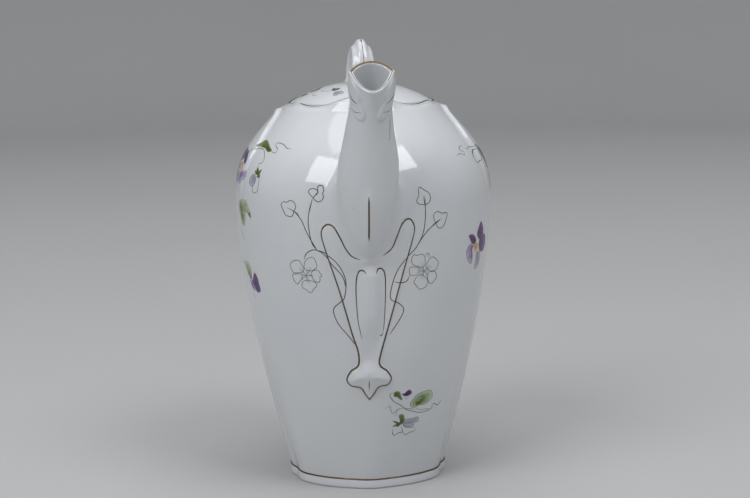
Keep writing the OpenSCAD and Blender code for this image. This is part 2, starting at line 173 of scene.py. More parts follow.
def body_r(az, z):
    """Radius of the wall with its side panels, whose edges are softened by the glaze."""
    s = 90 - fold(az)
    edge = panel_half(z)
    on_panel = 1 - ease(edge - edge_soft, edge + 3 * edge_soft, s)
    below_arch = 1 - ease(arch_z(az) - edge_soft, arch_z(az) + 2 * edge_soft, z)
    curl = panel_curl * hump(s, 7) * ease(panel_tip_z - 4, panel_tip_z - 0.5, z)
    return plain_r(az, z) + (panel_lift(z) * on_panel + curl) * below_arch


def scallop_z(az):
    """Height of the gallery's edge: a tall peak behind the spout, one at the handle and four low ones."""
    a = fold(az)
    return gallery_low_z + gallery_peak * np.exp(-(a / 26) ** 2.6) + gallery_corner * hump(a - 61, 10)


# Ornament below the spout, as places across and up: from its tip round each ear to the root of the spout.
relief_tip_z = span("spout_relief")[0][2]
relief_ear_z = span("spout_relief")[1][2]
root_low_z = span("spout")[0][2]
relief_left = [(-0.9, relief_tip_z), (-2.6, 50.8), (-4.9, 54.4), (-9.4, 55.5), (-11.4, 58.6), (-9.5, 63), (-6, 66.2),
               (-6, 72.9), (-8.8, 82.4), (-14.2, 102.7), (-20.5, 123), (-22.2, 131), (-19.8, 134.9), (-16.3, 134.3),
               (-13.3, 129.2), (-11, 124), (-8.2, 120.2), (-4.2, 118.6)]
relief_right = [(-0.9, relief_tip_z), (1.2, 51), (3.7, 54.7), (8, 55.7), (9.6, 59), (7.6, 62.8), (4.4, 65.8),
                (4.5, 71), (9.6, 89.9), (15, 109.7), (19.9, 126.7), (21, 132.3), (19.4, relief_ear_z - 1.3),
                (16.9, relief_ear_z - 0.8), (14.3, 134.2), (12.3, 129.1), (9.9, 123.5), (5.6, 120.2)]
relief_line = np.concatenate([smooth_run(relief_left, 6), [(0, 118.3)], smooth_run(relief_right, 6)[:0:-1]])


def inside_by(line, x, z):
    """Distance of each place from a closed line, counted positive inside it."""
    p = np.stack([x, z], -1)[..., None, :]
    a = line
    b = np.roll(line, -1, 0)
    along = np.clip(((p - a) * (b - a)).sum(-1) / ((b - a) ** 2).sum(-1), 0, 1)
    off = np.sqrt((((a + along[..., None] * (b - a)) - p) ** 2).sum(-1)).min(-1)
    crosses = (a[:, 1] > p[..., 1]) != (b[:, 1] > p[..., 1])
    rise = np.where(b[:, 1] == a[:, 1], 1e-9, b[:, 1] - a[:, 1])
    left = p[..., 0] < (b[:, 0] - a[:, 0]) * (p[..., 1] - a[:, 1]) / rise + a[:, 0]
    return off * np.where((crosses & left).sum(-1) % 2 == 1, 1, -1)


def relief_height(x, z):
    """How far the ornament stands proud: a low plate, a long swelling, two full ears and a bud."""
    d = inside_by(relief_line, x, z)
    plate = 0.75 * ease(-0.7, 0.9, d) + 0.25 * hump(d - 0.9, 0.8)
    column = 2.0 * ease(0, 6, 6.9 - np.hypot(x - 0.1, np.maximum(z - 109.5, 0))) * ease(76, 92, z)
    ears = 1.1 * ease(0.5, 4.6, d) * ease(108, 124, z)
    bud = 2.5 * np.sqrt(ease(0, 7.5, d)) * (1 - ease(62, 69, z)) - 0.7 * hump(x + 0.9, 0.8) * ease(58.5, 52, z)
    hollow = 0.6 * hump(x + 0.6, 3.4) * hump(z - 71.5, 5)
    return plate + (column + ears + bud - hollow) * ease(0, 1.6, d)


def skin_r(az, z):
    """Radius of the wall with its panels and the ornament under the spout."""
    az, z = np.broadcast_arrays(np.asarray(az, float), np.asarray(z, float))
    r = np.array(body_r(az, z), float)
    x = r * np.sin(np.radians(az))
    near = (np.cos(np.radians(az)) > 0) & (np.abs(x) < 26) & (z > relief_tip_z - 3) & (z < relief_ear_z + 3)
    if near.any():
        r[near] += relief_height(x[near], z[near])
    return r


def polar(az, r, z):
    a = np.radians(np.asarray(az, float))
    r, z = np.broadcast_to(r, a.shape), np.broadcast_to(z, a.shape)
    return np.stack([r * np.sin(a), -r * np.cos(a), z], -1)


def wall_spot(az, z):
    return polar(az, skin_r(az, z), z)


def columns(z):
    """Azimuths of the skin's columns at a height: close together over the ornament and at the panel edges."""
    def run(a, b, n):
        return np.linspace(a, b, n, endpoint=False)
    edge = 90 - panel_half(z)
    side = [run(edge - 4, edge + 4, 20), run(edge + 4, 90, 22)]
    front = np.concatenate([run(0, 25, 61), run(25, edge - 4, 35), *side])
    back = np.concatenate([run(0, 20, 20), run(20, edge - 4, 30), *side])
    return np.concatenate([front, [90], 180 - back[:0:-1], [180], 180 + back[1:], [270], 360 - front[:0:-1]])


def grid_faces(rows, cols, wrap=True):
    """Quads between loops of equal length; wrap joins the last column to the first."""
    j = np.arange(rows - 1)[:, None]
    i = np.arange(cols if wrap else cols - 1)[None, :]
    right = (i + 1) % cols
    return np.stack([j * cols + i, j * cols + right, (j + 1) * cols + right, (j + 1) * cols + i], -1).reshape(-1, 4)


def capped(quads, rows, cols):
    """The quads with a fan at each end, round the two hubs that follow the loops' points."""
    a = np.arange(cols)
    b, last, hub = (a + 1) % cols, (rows - 1) * cols, np.full(cols, rows * cols)
    return quads.tolist() + np.stack([b, a, hub], -1).tolist() + np.stack([last + a, last + b, hub + 1], -1).tolist()


def lathe(profile, sides):
    """Loops of an outline of (radius, height) places turned round the pot's axis."""
    turn = np.linspace(0, 360, sides, endpoint=False)
    return np.array([polar(turn, r, z) for r, z in profile])


def smooth_object(name, points, faces, paint):
    """An object with a smooth mesh of points in millimetres."""
    mesh = bpy.data.meshes.new(name)
    mesh.from_pydata((points * MM).tolist(), [], [list(map(int, f)) for f in faces])
    mesh.shade_smooth()
    mesh.materials.append(paint)
    made = bpy.data.objects.new(name, mesh)
    bpy.context.scene.collection.objects.link(made)
    return made


def mesh_piece(name, points, faces, body, paint, stands_for=()):
    """A smooth piece with its faces turned outwards, that rides on a body of the frame."""
    corners = points[np.array([f[:3] for f in faces])] - points.mean(0)
    if np.linalg.det(corners).sum() < 0:
        faces = [list(f)[::-1] for f in faces]
    piece = smooth_object(name, points, faces, paint)
    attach(piece, body)
    if stands_for:
        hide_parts(*stands_for)
    return piece


def tube_piece(name, loops, body, *stands_for):
    """A porcelain piece made of closed loops."""
    mesh_piece(name, loops.reshape(-1, 3), grid_faces(*loops.shape[:2]), body, porcelain, stands_for)


# White porcelain under a clear feldspar glaze: it shines like glass, pools a little blue-grey, and
# carries a few dark specks from the kiln.
class Tone:
    """One socket of a recipe. Sums and products of tones add the Math nodes."""

    def __init__(self, recipe, socket):
        self.recipe, self.socket = recipe, socket

    def joined(self, operation, first, second):
        return self.recipe.node("ShaderNodeMath", {"operation": operation}, {0: first, 1: second})

    def __add__(self, other):
        return self.joined("ADD", self, other)

    def __sub__(self, other):
        return self.joined("SUBTRACT", self, other)

    def __rsub__(self, other):
        return self.joined("SUBTRACT", other, self)

    def __mul__(self, other):
        return self.joined("MULTIPLY", self, other)

    __radd__, __rmul__ = __add__, __mul__


class Recipe:
    """A material's node tree, built round one Principled shader."""

    def __init__(self, name, **fixed):
        self.material = bpy.data.materials.new(name)
        self.material.use_nodes = True
        self.tree = self.material.node_tree
        self.shader = self.tree.nodes["Principled BSDF"]
        for socket, value in fixed.items():
            self.shader.inputs[socket.replace("_", " ")].default_value = value

    def node(self, kind, settings=None, sockets=None, output=0):
        made = self.tree.nodes.new(kind)
        for name, value in (settings or {}).items():
            setattr(made, name, value)
        for name, value in (sockets or {}).items():
            if isinstance(value, Tone):
                self.tree.links.new(value.socket, made.inputs[name])
            else:
                made.inputs[name].default_value = value
        return Tone(self, made.outputs[output])

    def mix(self, share, first, second):
        colours = {side: tone if isinstance(tone, Tone) else (*tone, 1) for side, tone in ((6, first), (7, second))}
        return self.node("ShaderNodeMix", {"data_type": "RGBA"}, {0: share, **colours}, output=2)

    def clouds(self, scale, detail=2.0):
        """Even noise in the piece's own space, 0 to 1; scale is in turns per metre."""
        where = self.node("ShaderNodeTexCoord", output=3)
        return self.node("ShaderNodeTexNoise", {}, {"Vector": where, "Scale": scale, "Detail": detail})

    def between(self, value, low, high):
        """0 where value is under low, 1 where it is over high."""
        return self.node("ShaderNodeMapRange", {"clamp": True}, {"Value": value, "From Min": low, "From Max": high})

    def feed(self, socket, tone):
        self.tree.links.new(tone.socket, self.shader.inputs[socket])


def porcelain_glaze():
    glaze = Recipe("porcelain_glaze", IOR=1.5, Coat_Roughness=0.04)
    white, pooled = (0.68, 0.695, 0.715), (0.61, 0.635, 0.665)
    drift = glaze.between(glaze.clouds(22, 3), 0.35, 0.75)
    body = glaze.mix(drift * 0.55, white, pooled)
    speck = glaze.between(glaze.clouds(900, 1), 0.765, 0.79)
    glaze.feed("Base Color", glaze.mix(speck * 0.35, body, (0.30, 0.27, 0.24)))
    glaze.feed("Roughness", 0.06 + glaze.clouds(60, 2) * 0.05)
    glaze.feed("Coat Weight", 0.2 + drift * 0.1)
    peel = glaze.clouds(110, 1) + glaze.clouds(30, 1) * 2
    glaze.feed("Normal", glaze.node("ShaderNodeBump", {}, {"Strength": 0.05, "Distance": 0.0006, "Height": peel}))
    return glaze.material


porcelain = porcelain_glaze()


def pot_loops():
    """Loops of the pot's skin, from the middle of its underside up over the gallery and down to its floor."""
    loops = []

    def turned(r, z, az):
        loops.append(polar(az, r, z))

    low = columns(foot_h)
    outline = body_r(low, foot_h) + foot_out
    for r, z in [(foot_bore_r - 2, foot_h), (foot_bore_r - 0.5, foot_h - 0.4), (foot_bore_r, foot_h - 1.5),
                 (foot_bore_r + 0.2, 0.8), (foot_bore_r + 0.9, 0.05), (foot_bore_r + 1.6, 0)]:
        turned(r, z, low)
    for inset, z in [(1.2, 0), (0.5, 0.15), (0.12, 0.55), (0, 1.2), (0, foot_h - 0.9), (0.06, foot_h - 0.5),
                     (0.2, foot_h - 0.15), (0.32, foot_h + 0.1)]:
        turned(outline - inset, z, low)
    for z in np.concatenate([np.arange(foot_h + 0.6, 45, 1.0), np.arange(45, 142, 0.5), np.arange(142, 168, 0.8),
                             np.arange(168, seat_z - 0.2, 0.3)]):
        turned(skin_r(columns(z), z), z, columns(z))
    az = columns(seat_z)
    top = scallop_z(az)
    for share in (0.04, 0.2, 0.4, 0.6, 0.8, 0.94):
        turned(neck_r + (gallery_bore_r + gallery_top_t - neck_r) * share,
               seat_z + (top - gallery_round - seat_z) * share, az)
    for turn in np.linspace(0, np.pi, 13):
        turned(gallery_bore_r + gallery_top_t / 2 * (1 + math.cos(turn)),
               top - gallery_round * (1 - math.sin(turn)), az)
    for r, z in [(gallery_bore_r, seat_z + 0.5), (gallery_bore_r - 0.4, seat_z), (mouth_r + 0.7, seat_z),
                 (mouth_r + 0.15, seat_z - 0.2), (mouth_r, seat_z - 0.8), (mouth_r, seat_z - 2.8),
                 (mouth_r + 0.7, seat_z - 3.5), (neck_r - wall - 1, seat_z - 4), (neck_r - wall + 2, seat_z - 5)]:
        turned(r, z, az)
    for z in np.concatenate([np.linspace(seat_z - 8, 158, 12), np.arange(157, 135, -0.8),
                             np.linspace(134, foot_h + floor_t + 5, 36)]):
        turned(cavity_r(z), z, az)
    last = loops[-1]
    for share, z in [(0.96, foot_h + floor_t + 2.4), (0.86, foot_h + floor_t + 0.6), (0.7, foot_h + floor_t)]:
        loops.append(last * (share, share, 0) + (0, 0, z))
    return np.array(loops)


def cavity_r(z):
    return side_r(z) - panel_lift(z) - wall - (foot_flat + groove_depth) * foot_fade(z) / 2


grid = pot_loops()
rows, cols = grid.shape[:2]
points = np.concatenate([grid.reshape(-1, 3), [(0, 0, foot_h), (0, 0, foot_h + floor_t)]])
sides = grid_faces(rows, cols)
middle = points[sides].mean(1)
pierced = (middle[:, 1] < 0) & (np.hypot(middle[:, 0], middle[:, 2] - pour_z) < pour_r + 0.3)
mesh_piece("pot_body", points, capped(sides[~pierced], rows, cols), "pot", porcelain,
           ("body_shell", "foot_ring", "gallery_ring", "spout_relief"))

# The spout is cast by itself and luted to the wall. It springs from a rounded knob with a soft keel,
# narrows to a neck, leans out and ends in a slanted lip with a point at each side and two moulded
# leaves below each point. Its channel opens through the wall.
reach = -span("spout")[0][1] - 0.25
lip_z = 198.0
lip_back_z = span("spout")[1][2]
lip_l = 17.0
lip_w = 10.3
lip_t = 2.0
lip_side_t = 2.3
lip_split = 0.68
root_high_z = 170.0
spout_sides, spout_rows, channel_rows = 144, 190, 60
lean_low, lean_lip = -0.9, 1.1
root_fillet = 4.0
keel_h = 0.7
front_rail = [(-reach, lip_z), (-reach + 14, lip_z - 18), (-belly_r - 20, root_low_z + 1.5),
              (-plain_r(0, root_low_z), root_low_z)]
back_rail = [(-reach + lip_l, lip_back_z), (-reach + lip_l + 4, lip_back_z - 15),
             (-belly_r - 8, root_high_z + 3), (-plain_r(0, root_high_z), root_high_z)]
spout_angles = np.arange(spout_sides) * 2 * np.pi / spout_sides
lip_slope = math.atan2(lip_back_z - lip_z, lip_l)


def spout_loop(front, back, split, half, point):
    mid = front + (back - front) * split
    c = np.cos(spout_angles)
    p = mid + (np.where((c > 0)[:, None], front, back) - mid) * (np.abs(c) ** (1 + point))[:, None]
    return np.stack([half * np.sin(spout_angles), p[:, 0], p[:, 1]], -1)


def spout_lean(z):
    """How far the spout, which was luted on by eye, leans from left to right."""
    return lean_low * ease(110, 128, z) * ease(178, 150, z) + lean_lip * ease(178, 199, z)


def spout_outside():
    """Loops of the spout's outside, from its lip to inside the wall."""
    c, s = np.cos(spout_angles), np.sin(spout_angles)
    loops = []
    for t in np.linspace(0, 1.12, spout_rows):
        half = np.interp(t, (0, 0.06, 0.12, 0.2, 0.26, 0.34, 0.42, 0.5, 0.6, 0.7, 0.8, 1),
                         (10.3, 10.1, 9.75, 9.35, 9.7, 10.6, 11.5, 12.6, 13.9, 14.6, 14.6, 13.8))
        nose = ease(0.5, 0.95, t)
        loop = spout_loop(bezier(front_rail, t), bezier(back_rail, t), lip_split - 0.12 * ease(0, 0.4, t), half,
                          0.7 - 0.6 * ease(0, 0.25, t))
        pinch = 1 + 0.25 * nose * ease(-0.3, 0.9, c)
        loop[:, 0] = half * (1 - 0.1 * nose * ease(-0.5, 1, c)) * np.sign(s) * np.abs(s) ** pinch
        loop[:, 0] += spout_lean(loop[:, 2])
        loops.append(loop)
    return np.array(loops)


def outward(grid):
    """Unit directions square to a grid of closed loops, pointing away from its middle line."""
    across = np.roll(grid, -1, 1) - np.roll(grid, 1, 1)
    along = np.gradient(grid, axis=0)
    n = np.cross(across, along)
    n /= np.linalg.norm(n, axis=2, keepdims=True) + 1e-12
    away = grid - grid.mean(1, keepdims=True)
    return n * np.sign((n * away).sum(2).mean())


def leaf_height(angle, z):
    """The two leaves moulded below each side point of the lip, by angle from the front and height."""
    a = np.abs((np.degrees(angle) + 180) % 360 - 180)
    upper = ease(1.06, 0.86, np.hypot((a - 60) / 30, (z - 198.6 - 0.12 * (a - 60)) / 5.6))
    lower = ease(1.06, 0.86, np.hypot((a - 46) / 30, (z - 191.8 - 0.14 * (a - 46)) / 4.8))
    return np.maximum(1.0 * upper * ease(207, 201, z), 0.85 * lower) * ease(104, 84, a)


class PotWall:
    """The wall as the ground that other pieces grow out of and are painted on."""

    spot = staticmethod(wall_spot)

    @staticmethod
    def under(p):
        """Azimuth and height of each place, the wall's radius there and how much its slope adds to a thickness."""
        az, z = np.degrees(np.arctan2(p[..., 0], -p[..., 1])), p[..., 2]
        return az, z, skin_r(az, z), np.sqrt(1 + (side_r(z + 0.5) - side_r(z - 0.5)) ** 2)

    @classmethod
    def height(cls, p):
        az, z, r, slope = cls.under(p)
        return (np.hypot(p[..., 0], p[..., 1]) - r) / slope

    @classmethod
    def lay(cls, p, height):
        az, z, r, slope = cls.under(p)
        return polar(az, r + height * slope, z)

    @staticmethod
    def up(p):
        flat = p * (1, 1, 0)
        return flat / np.linalg.norm(flat, axis=-1, keepdims=True)


def grow_from(ground, grid, fillet):
    """Ends a grid of loops, free end first, on the ground it grows from, with a soft fillet all round."""
    rise = ground.height(grid)
    highest = np.maximum.accumulate(rise[::-1])
    column = np.arange(grid.shape[1])
    fillet = np.broadcast_to(fillet, len(column))

    def place(height):
        """Places on the loops' columns at the given heights above the ground."""
        first = np.clip((highest >= height).sum(0) - 1, 0, len(grid) - 2)
        a, b = rise[first, column], rise[first + 1, column]
        share = np.clip((a - height) / np.maximum(a - b, 1e-6), 0, 1)[:, None]
        return grid[first, column] + (grid[first + 1, column] - grid[first, column]) * share

    foot = place(0)
    along = np.roll(foot, -1, 0) - np.roll(foot, 1, 0)
    step = 0.05
    grad = np.stack([ground.height(foot + d) - ground.height(foot - d) for d in np.eye(3) * step], -1)
    out = np.cross(along, grad)
    out /= np.linalg.norm(out, axis=1, keepdims=True)
    out *= np.sign((out * (foot - foot.mean(0))).sum(1).mean())
    free = []
    start = place(fillet)
    for i in column:
        stop = np.searchsorted(-rise[:, i], -fillet[i])
        run = np.concatenate([grid[:max(stop, 1), i], start[i:i + 1]])
        length = arc_length(run)
        even = np.interp(np.linspace(0, 1, len(grid)), length / length[-1], np.arange(len(run)))
        free.append(between_places(run, even))
    rows = list(np.stack(free, 1))
    for u in np.linspace(0, 1, 15)[1:]:
        height = fillet * (1 - u) ** 2
        spot = place(height) + out * (fillet * u * u)[:, None]
        rows.append(ground.lay(spot, height))
    for beyond, depth in [(0.7, 0.02), (1.4, 0.12), (2.2, 0.8)]:
        rows.append(ground.lay(foot + out * (fillet + beyond)[:, None], -depth))
    return np.array(rows)


def grow_both(ground, skin, fillet):
    """A strap that stands on the ground with both its ends."""
    middle = len(skin) // 2
    upper = grow_from(ground, skin[:middle + 1][::-1], fillet)[::-1]
    return np.concatenate([upper, grow_from(ground, skin[middle:], fillet)[1:]])


outside = spout_outside()
front_turn = np.minimum(spout_angles, 2 * np.pi - spout_angles)
keel = keel_h * hump(front_turn, 0.17) * ease(154, 147, outside[..., 2]) * ease(124, 130, outside[..., 2])
outside = outside + outward(outside) * (leaf_height(spout_angles, outside[..., 2]) + keel)[..., None]
forward = np.cos(spout_angles)
spout_skin = grow_from(PotWall, outside, root_fillet * (1 + ease(-0.5, 0, forward) + hump(forward - 0.55, 0.4)))
lip_across = np.array([math.cos(lip_slope), math.sin(lip_slope)])
lip_loops = []
for turn in np.linspace(0, np.pi, 11)[1:]:
    inset = lip_across * lip_t * (1 - math.cos(turn)) / 2
    lift = 0.8 * math.sin(turn) * np.array([-math.sin(lip_slope), math.cos(lip_slope)])
    lip_loops.append(spout_loop(front_rail[0] + inset + lift, back_rail[0] - inset + lift, lip_split,
                                lip_w - lip_side_t * (1 - math.cos(turn)) / 2, 0.7))
lip_loops = np.array(lip_loops)
lip_loops[..., 0] += spout_lean(lip_loops[..., 2])


def channel_loops():
    """The pouring channel, from the lip down and through the wall, where a low flange ends it."""
    channel_r = lip_w - lip_side_t - 0.9
    lip_mid = np.array([-reach + lip_l / 2, (lip_z + lip_back_z) / 2])
    path = [lip_mid, lip_mid + (9.5, -16.5), (-belly_r - 10, pour_z), (-belly_r + wall, pour_z)]
    loops = []
    for t in np.linspace(0.12, 0.97, channel_rows):
        mid, ahead, behind = bezier(path, t), bezier(path, t + 0.01), bezier(path, t - 0.01)
        u = (behind - ahead) / np.linalg.norm(behind - ahead)
        r = channel_r + (pour_r - channel_r) * t * t
        c, s = r * np.cos(spout_angles), r * np.sin(spout_angles)
        z = mid[1] + c * u[0]
        loops.append(np.stack([s + spout_lean(z) * ease(0.8, 0.4, t), mid[0] - c * u[1], z], -1))
    for r, inset in [(pour_r, 0), (pour_r + 0.5, 0.25), (pour_r + 1.4, 0.1)]:
        x, z = r * np.sin(spout_angles), pour_z - r * np.cos(spout_angles)
        loops.append(np.stack([x, -np.sqrt((cavity_r(z) - inset) ** 2 - x * x), z], -1))
    return np.array(loops)


tube_piece("spout_body", np.concatenate([spout_skin[::-1], lip_loops, channel_loops()]), "pot", "spout")

# The handle is a flat strap with a rib along its outside, cast solid. It rises from the shoulder, bows
# out behind the pot under a thumb rest and comes back to the wall low down.
handle_reach = span("handle")[1][1]
handle_t = 7.4
handle_w = 11.0
handle_flare_top, handle_flare_low = 5, 4
handle_fillet = 5.0
thumb_h, thumb_at, thumb_len = 1.7, 0.285, 0.108
rib_h = 0.7
strap_sides, strap_turns = 96, 1440


def strap_loops(path, wide, thick, crest, rib_w=2.4, blunt=3):
    """Evenly set out loops of a rounded strap along a path of (y, z) places, with a rib on its outside."""
    half = strap_turns // 2
    turn = -np.linspace(0, 2 * np.pi, strap_turns + 1)
    c, s = np.cos(turn), np.sin(turn)
    loops = []
    for i in range(len(path)):
        ahead = path[min(i + 1, len(path) - 1)] - path[max(i - 1, 0)]
        ahead = ahead / np.linalg.norm(ahead)
        x = np.sign(c) * np.abs(c) ** 0.6 * wide[i] / 2
        off = np.sign(s) * np.abs(s) ** 0.75 * thick / 2 + (s > 0) * crest[i] * np.exp(-(np.abs(x) / rib_w) ** blunt)
        length = arc_length(np.stack([x, off], -1))
        even = np.concatenate([np.linspace(0, length[half], strap_sides // 2, endpoint=False),
                               np.linspace(length[half], length[-1], strap_sides // 2, endpoint=False)])
        x, off = np.interp(even, length, x), np.interp(even, length, off)
        loops.append(np.stack([x, path[i][0] - ahead[1] * off, path[i][1] + ahead[0] * off], -1))
    return np.array(loops)


def longer(path, count, step):
    """The path with straight ends that run on into the ground."""
    more = np.arange(1, count + 1)[:, None] * step
    start, end = path[0] - path[1], path[-1] - path[-2]
    return np.concatenate([(path[0] + more * start / np.linalg.norm(start))[::-1], path,
                           path[-1] + more * end / np.linalg.norm(end)])


def handle_path():
    top_z, low_z, peak_z = 164.0, 78.0, 182.0
    bow_z = top_z - 14
    out_y = handle_reach - handle_t / 2 - rib_h - 0.3
    top_y, low_y = plain_r(180, top_z), plain_r(180, low_z)
    upper = [(top_y, top_z), (top_y + 10, peak_z + 2), (out_y, peak_z + 10), (out_y, bow_z)]
    lower = [(out_y, bow_z), (out_y, bow_z - 34), (low_y + 16, low_z + 18), (low_y, low_z)]
    return longer(np.concatenate([bezier(upper, np.linspace(0, 1, 60)), bezier(lower, np.linspace(0, 1, 70))[1:]]),
                  5, 1.5)


path = handle_path()
share = np.linspace(0, 1, len(path))
handle_skin = strap_loops(path, handle_w + handle_flare_top * (1 - share) ** 6 + handle_flare_low * share ** 6,
                          handle_t, rib_h + thumb_h * hump(share - thumb_at, thumb_len))
tube_piece("handle_strap", grow_both(PotWall, handle_skin, handle_fillet), "pot", "handle")

# The lid is turned on the wheel: a low dome with a plain edge, hollow below, and a deep collar that
# keeps it from falling out when the pot is tipped. Nothing hinges it: it lifts straight off.
lid_low, lid_high = span("lid_dome")
lid_r = lid_high[0]
lid_z = lid_low[2]
lid_edge_h = 2.0
lid_edge_round = 0.9
dome_rise = lid_high[2] - lid_z - lid_edge_h
dome_r = (lid_r ** 2 + dome_rise ** 2) / (2 * dome_rise)
dome_mid = lid_high[2] - dome_r
lid_t = 3.6
collar_r = span("lid_collar")[1][0]
collar_z = span("lid_collar")[0][2]
collar_t = 3.0
lid_sides = 144


def dome_z(r):
    return dome_mid + np.sqrt(dome_r ** 2 - np.asarray(r, float) ** 2)


inside_r = collar_r - collar_t
profile = [(r, dome_z(r) - lid_t) for r in np.linspace(0.6, inside_r - 2, 30)]
profile += [(inside_r - 0.2, lid_z + 1), (inside_r, lid_z - 0.6), (inside_r, collar_z + 1.2),
            (inside_r + 0.4, collar_z + 0.3), (inside_r + 1.1, collar_z), (collar_r - 1.1, collar_z),
            (collar_r - 0.4, collar_z + 0.4), (collar_r, collar_z + 1.5), (collar_r, lid_z - 0.5),
            (collar_r + 0.5, lid_z)]
profile += [(lid_r - lid_edge_round * (1 - math.sin(a)), lid_z + 1.1 - lid_edge_round * math.cos(a))
            for a in np.linspace(0, 1.2, 7)]
profile += [(r, dome_z(r)) for r in np.linspace(lid_r - 0.35, 0.6, 90)]
size = len(profile), lid_sides
points = np.concatenate([lathe(profile, lid_sides).reshape(-1, 3), [(0, 0, dome_z(0) - lid_t), (0, 0, dome_z(0))]])
mesh_piece("lid_cover", points, capped(grid_faces(*size), *size), "lid", porcelain, ("lid_dome", "lid_collar"))


class Dome:
    """The top of the lid as the ground that the finial grows out of and the flowers lie on."""

    @staticmethod
    def spot(x, y):
        return np.stack([x, y, dome_z(np.hypot(x, y))], -1)

    @staticmethod
    def height(p):
        return p[..., 2] - dome_z(np.hypot(p[..., 0], p[..., 1]))

    @staticmethod
    def lay(p, height):
        return Dome.spot(p[..., 0], p[..., 1]) + np.multiply.outer(height, (0, 0, 1))

    @staticmethod
    def up(p):
        return np.broadcast_to((0.0, 0.0, 1.0), p.shape)


# The finial is a flat loop of clay bent over like a small basket handle, with a rib along its outside
# that swells into a rounded crest on top. It is luted to the dome at both feet.
finial_w, finial_flare, finial_t = 9.6, 3.4, 4.0
finial_fillet = 2.4
finial_crest = 3.6
crest_wear = 0.9
finial_foot = 8.5
finial_top = span("lid_finial")[1][2] - finial_crest - finial_t / 2
lid_turn = math.radians(6.0)


def finial_path():
    foot_z = dome_z(finial_foot)
    rise = [(-finial_foot, foot_z), (-finial_foot - 2.5, foot_z + 10), (-finial_foot + 3, finial_top),
            (0, finial_top)]
    half = bezier(rise, np.linspace(0, 1, 50))
    return longer(np.concatenate([half, half[-2::-1] * (-1, 1)]), 4, 1.0)


def turn_lid(p):
    c, s = math.cos(lid_turn), math.sin(lid_turn)
    return p @ np.array([[c, s, 0], [-s, c, 0], [0, 0, 1]])


path = finial_path()
share = np.abs(np.linspace(-1, 1, len(path)))
finial_skin = strap_loops(path, finial_w + finial_flare * share ** 1.5, finial_t,
                          rib_h + (finial_crest - crest_wear - rib_h) * hump(share, 0.34), 2.7, 4)
tube_piece("lid_finial_loop", turn_lid(grow_both(Dome, finial_skin, finial_fillet)), "lid", "lid_finial")

# Gilding is brushed on over the glaze and fired again: heavy lines on the edges of the ornament, the
# gallery, the foot and the lip, and hair-fine tendrils beside them. Use has dulled and thinned it.
taper = 2.5


class Coat:
    """Lines and patches of one colour that lie on one body. They become one piece."""

    def __init__(self):
        self.points, self.faces, self.places, self.count = [], [], [], 0

    def add(self, grid, places=None):
        rows, cols = grid.shape[:2]
        self.faces += (grid_faces(rows, cols, False) + self.count).tolist()
        self.points.append(grid.reshape(-1, 3))
        if places is None:
            places = np.stack(np.meshgrid(np.linspace(0, 1, rows), np.linspace(0, 1, cols), indexing="ij"), -1)
        self.places.append(places.reshape(-1, 2))
        self.count += rows * cols

    def stroke(self, line, width, ground=None, up=None, ends=(0.25, 0.25), lift=0.06):
        """A brushed line: a low ridge along a line of places, thinner at its ends."""
        up = ground.up(line) if up is None else up
        ahead = np.gradient(line, axis=0)
        side = np.cross(ahead, up)
        side /= np.linalg.norm(side, axis=1, keepdims=True) + 1e-12
        length = arc_length(line)
        body = np.interp(length, (0, taper), (ends[0], 1)) * np.interp(length[-1] - length, (0, taper), (ends[1], 1))
        half = (width / 2 * body)[:, None]
        strips = []
        for across, rise in ((-1, -0.05), (-0.6, lift * 0.8), (0, lift), (0.6, lift * 0.8), (1, -0.05)):
            spots = line + side * half * across
            strips.append(ground.lay(spots, rise) if ground else spots + up * rise)
        self.add(np.stack(strips, 1))

    def piece(self, name, body, paint, slot):
        made = mesh_piece(name, np.concatenate(self.points), self.faces, body, paint)
        corners = np.empty(len(made.data.loops), int)
        made.data.loops.foreach_get("vertex_index", corners)
        layer = made.data.uv_layers.new(name="UVMap")
        layer.data.foreach_set("uv", np.concatenate(self.places)[corners].ravel())


def dulled_gold(name, rich, worn, rough, metal=0.85):
    gold = Recipe(name, IOR=1.5)
    wear = gold.between(gold.clouds(260, 3), 0.42, 0.66)
    gold.feed("Base Color", gold.mix(wear, rich, worn))
    gold.feed("Metallic", metal - wear * metal * 0.5)
    gold.feed("Roughness", rough + wear * 0.2)
    return gold.material


bright_gold = dulled_gold("bright_gold", (0.15, 0.105, 0.045), (0.085, 0.068, 0.042), 0.36)
line_gold = dulled_gold("line_gold", (0.11, 0.092, 0.055), (0.075, 0.07, 0.055), 0.4)
pen_brown = dulled_gold("pen_brown", (0.085, 0.085, 0.07), (0.17, 0.17, 0.15), 0.35, 0.1)


def on_front(places, n=8):
    """Smooth line on the front of the wall through (across, up) places."""
    x, z = smooth_run(places, n).T
    return wall_spot(np.degrees(np.arcsin(x / body_r(0, z))), z)


class RootOfSpout(PotWall):
    """The wall with the root of the spout on it, for lines that run up on to the root."""
    thickest = 7
    skin = BVHTree.FromPolygons(spout_skin.reshape(-1, 3).tolist(), grid_faces(*spout_skin.shape[:2]).tolist())

    @classmethod
    def lay(cls, p, height):
        spots = PotWall.lay(p, height)
        for at in zip(*np.nonzero((spots[..., 1] < 0) & (np.abs(spots[..., 0]) < 34) & (spots[..., 2] > 105))):
            up = cls.up(spots[at])
            hit = cls.skin.ray_cast(Vector(spots[at] + up * cls.thickest), Vector(-up), cls.thickest)[0]
            if hit:
                spots[at] = np.array(hit) + up * height
        return spots


